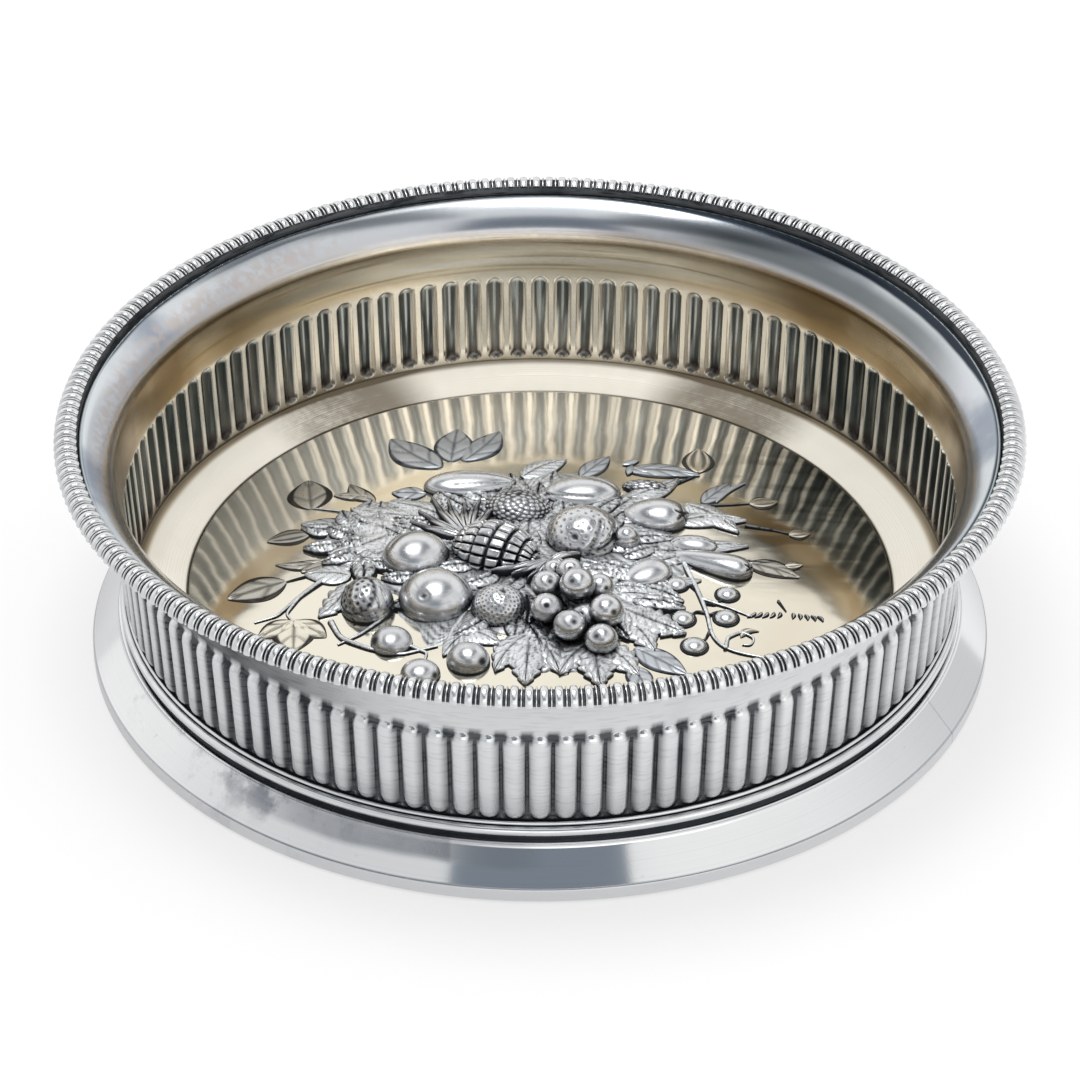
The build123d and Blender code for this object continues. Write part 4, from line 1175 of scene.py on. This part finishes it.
# Stems, tendrils and the little fern: points along each, then its thickness
stems = [
    ([(22.4, 1.5), (24.8, -7.3), (26.2, -13.8), (26.4, -18.5), (28.6, -22.0), (33.8, -23.4),
      (41.0, -24.4)], 0.6),
    ([(24.6, -6.8), (23.2, -5.0), (21.4, -5.6)], 0.4),
    ([(25.4, -10.0), (27.4, -10.4), (29.0, -8.0)], 0.4),
    ([(26.0, -12.6), (24.4, -12.4), (22.4, -14.2)], 0.4),
    ([(26.2, -13.4), (27.6, -12.2), (28.8, -13.6)], 0.4),
    ([(26.4, -17.0), (25.6, -19.4), (23.8, -21.2)], 0.4),
    ([(25.2, -9.0), (29.4, -11.0), (33.0, -13.2)], 0.45),
    ([(28.6, -22.0), (29.0, -18.8), (31.2, -17.2), (33.2, -18.6), (32.6, -20.6), (31.0, -20.4)], 0.5),
    ([(-22.6, -11.2), (-25.0, -15.0), (-27.8, -18.1), (-31.4, -20.6)], 0.6),
    ([(-10.4, -10.8), (-12.6, -15.6), (-13.9, -19.0), (-14.3, -23.4), (-12.6, -28.6)], 0.8),
    ([(-32.6, -14.2), (-30.9, -18.9), (-26.3, -22.0), (-21.6, -23.8), (-15.4, -21.6)], 0.7),
    ([(-34.0, -3.0), (-37.7, -7.5), (-39.6, -11.8), (-38.2, -14.2)], 0.6),
    ([(-37.7, -7.5), (-41.0, -12.2), (-44.6, -13.6)], 0.45),
    ([(-24.0, 12.4), (-31.0, 16.2), (-36.6, 18.0)], 0.5), ([(-31.0, 10.2), (-37.0, 10.4)], 0.4),
    ([(-33.0, -0.4), (-40.0, -3.0)], 0.4), ([(24.6, 17.6), (31.0, 18.6), (33.8, 19.2)], 0.4),
    ([(32.6, 12.4), (37.6, 11.4), (39.8, 10.6)], 0.4), ([(32.4, 2.0), (36.6, 1.8), (38.8, 1.4)], 0.4),
    ([(22.0, 24.4), (25.0, 26.8), (25.6, 28.4)], 0.4), ([(12.4, -3.8), (11.0, -6.8), (12.8, -9.8)], 0.9),
    ([(37.2, -8.4), (38.4, -11.2)], 0.3), ([(-20.0, -21.6), (-17.4, -23.4), (-17.8, -26.2)], 0.5),
    ([(-19.8, -21.0), (-22.0, -21.6)], 0.45),
]
fern = [((38.4 + 0.95 * k, -11.3 - 0.1 * abs(k)), (38.1 + 1.2 * k, -12.9 - 0.08 * abs(k)))
        for k in range(-5, 6) if k]
twigs = [stemForm(path, thick * 0.8) for path, thick in stems]
fronds = [leafForm(base, tip, 0.75, 0.28, 0, 0, 0.12, rows=16, cols=16, rim=0.2) for base, tip in fern]
embossed("stems", twigs + fronds, chased, sharp=70.0)

# Wood stays as the CAD solid with its own finish; baize is a napped disc

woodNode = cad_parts["wood_base"]
woodNode.data.materials.clear()
woodNode.data.materials.append(hardwood)

pad = {"radius": 67.7, "thickness": 1.2, "lowInset": 0.3, "lowEdge": 0.25, "highInset": 0.2, "highEdge": 0.95,
       "rings": (0.5, 30, 60), "columns": 360}
padLoop = np.array([*((r, 0.0) for r in pad["rings"]),
                    (pad["radius"] - pad["lowInset"], 0.0), (pad["radius"], pad["lowEdge"]),
                    (pad["radius"], pad["highEdge"]), (pad["radius"] - pad["highInset"], pad["thickness"]),
                    *((r, pad["thickness"]) for r in pad["rings"][::-1])])
padPoints = np.concatenate([[(0, 0, 0)], turned(padLoop, pad["columns"]), [(0, 0, pad["thickness"])]])
padFaces = skinFaces(len(padLoop), pad["columns"])
baizePad = makePiece("baizePad", padPoints, padFaces, baize, "baize_pad")

# Studio: pale floor, white surroundings, dark gap where the camera stands

studio = {"shadeWall": (0.66, 0.67, 0.68), "litWall": (0.95, 0.95, 0.94), "backWall": (1.0, 1.0, 0.99),
          "window": (1.3, 1.3, 1.29), "ceiling": (0.13, 0.145, 0.165), "gap": (0.20, 0.235, 0.275),
          "strip": (0.95, 0.95, 0.94), "white": (1.0, 1.0, 1.0), "paper": (0.9, 0.9, 0.9),
          "floorLeft": (0.50, 0.50, 0.51), "floorRight": (0.85, 0.85, 0.85), "floorEdge": (-0.12, 0.16),
          "floorGlow": 0.55, "floorHalf": 4.0, "lampSize": 0.5, "lampEnergy": 4.0,
          "lampAt": (-0.12, 0.10, 1.2), "lampTilt": (-5, -6)}
# where each part of the surroundings lies, by the direction looked in; four numbers are a rise and a fall
zones = {"wallTop": (0.80, 0.74), "frontLeft": (0.05, 0.25), "leftDrop": 0.02,
         "panelAhead": (-0.45, -0.25), "panelAside": (0.40, 0.43), "panelTop": (0.90, 0.86),
         "gapAhead": (0.5, 0.7), "gapAside": (0.43, 0.405), "gapUp": (0.52, 0.55, 0.82, 0.86),
         "stripAside": (0.30, 0.20), "stripAlong": (-0.64, -0.54, 0.60, 0.74), "stripFrom": 0.3,
         "windowAcross": (-0.35, -0.15, 0.65, 0.85), "windowAhead": (0.3, 0.5),
         "windowUp": (0.02, 0.08, 0.50, 0.58), "litSide": (0.5, -0.5), "backFrom": (0.1, 0.4),
         "backUp": (0.30, 0.45)}


def rayKind(f, index):
    # 1 for rays that start at the camera (0) or come off a polished face (3)
    return f.node("ShaderNodeLightPath", None, None, out=index)


world = bpy.data.worlds.new("studio")
bpy.context.scene.world = world
world.use_nodes = True
w = Finish(world.node_tree)
toward = w.node("ShaderNodeTexCoord", None, None, out=0)
dx, dy, dz = (w.node("ShaderNodeSeparateXYZ", None, {0: toward}, out=k) for k in range(3))
# what polished metal sees: pale walls, taller panels beside the front at the right, a window in front,
# a dark gap at the camera, a bright strip overhead
level = (dx * dx + dy * dy) ** 0.5 + 0.001
side = abs(dx)
aside = side / level
ahead = -1.0 * dy / level
height = dz.larger(0.05)
frontLeft = w.step(ahead, *zones["frontLeft"]) * (dx < 0.0)
walls = w.step(dz + frontLeft * zones["leftDrop"], *zones["wallTop"])
panels = w.step(ahead, *zones["panelAhead"]) * w.step(aside, *zones["panelAside"])
panels = panels * w.step(dz, *zones["panelTop"]) * (dx > 0.0)
gap = w.step(ahead, *zones["gapAhead"]) * w.step(aside, *zones["gapAside"]) * w.between(dz, *zones["gapUp"])
strip = w.step(side / height, *zones["stripAside"]) * w.between(dy / height, *zones["stripAlong"])
strip = strip * (dz > zones["stripFrom"])
window = w.between(dx / level, *zones["windowAcross"]) * w.step(ahead, *zones["windowAhead"])
window = window * w.between(dz, *zones["windowUp"])
wallTone = w.blend(w.step(dx * dy, *zones["litSide"]), studio["shadeWall"], studio["litWall"])
atBack = w.step(dy, *zones["backFrom"]) * w.step(dz, *zones["backUp"])
wallTone = w.blend(atBack, wallTone, studio["backWall"])
wallTone = w.blend(window, wallTone, studio["window"])
seen = w.blend(walls.larger(panels), studio["ceiling"], wallTone)
seen = w.blend(gap, seen, studio["gap"])
seen = w.blend(strip, seen, studio["strip"])
shown = w.blend(rayKind(w, 3), studio["white"], seen)
shown = w.blend(rayKind(w, 0), shown, studio["white"])
light = w.node("ShaderNodeBackground", None, {"Color": shown, "Strength": 1.0})
w.node("ShaderNodeOutputWorld", None, {"Surface": light})

half = studio["floorHalf"]
stageFloor = bpy.data.meshes.new("studioFloor")
stageFloor.from_pydata([(-half, -half, 0), (half, -half, 0), (half, half, 0), (-half, half, 0)], [],
                       [(0, 1, 2, 3)])
paper, p = newFinish("whitePaper")
lit = p.node("ShaderNodeBsdfDiffuse", None, {"Color": studio["paper"]})
fromLeft = p.node("ShaderNodeSeparateXYZ", None, {0: p.place()})
# painted light and shade: to polished metal the floor glows, darker at the left and brighter at the right
mirrored = p.blend(p.step(fromLeft, *studio["floorEdge"]), studio["floorLeft"], studio["floorRight"])
glowTone = p.blend(rayKind(p, 0), mirrored, studio["white"])
glow = p.node("ShaderNodeEmission", None, {"Color": glowTone, "Strength": 1.0})
direct = rayKind(p, 0).larger(rayKind(p, 3))
mixed = p.node("ShaderNodeMixShader", None, {0: direct * studio["floorGlow"], 1: lit, 2: glow})
p.node("ShaderNodeOutputMaterial", None, {"Surface": mixed})
stageFloor.materials.append(paper)
floorObject = bpy.data.objects.new("studioFloor", stageFloor)
bpy.context.scene.collection.objects.link(floorObject)

lamp = bpy.data.lights.new("overhead", "AREA")
lamp.size = studio["lampSize"]
lamp.energy = studio["lampEnergy"]
lampObject = bpy.data.objects.new("overhead", lamp)
lampObject.location = studio["lampAt"]
lampObject.rotation_euler = (*np.radians(studio["lampTilt"]), 0)
bpy.context.scene.collection.objects.link(lampObject)

# Camera as the photograph was taken

view = {"elevation": 33.912, "distance": 0.78885, "aim": 0.017074, "focal": 5025.66, "frame": 1080.0}
camera = bpy.data.cameras.new("camera")
camera.sensor_fit = "HORIZONTAL"
camera.sensor_width = 36.0
camera.lens = view["focal"] / view["frame"] * camera.sensor_width
camera.clip_end = 50.0
cameraObject = bpy.data.objects.new("camera", camera)
up = radians(view["elevation"])
cameraObject.location = (0, -view["distance"] * cos(up), view["aim"] + view["distance"] * sin(up))
cameraObject.rotation_euler = (pi / 2 - up, 0, 0)
bpy.context.scene.collection.objects.link(cameraObject)
bpy.context.scene.camera = cameraObject
bpy.context.scene.view_settings.view_transform = "Standard"
print("studio ready")
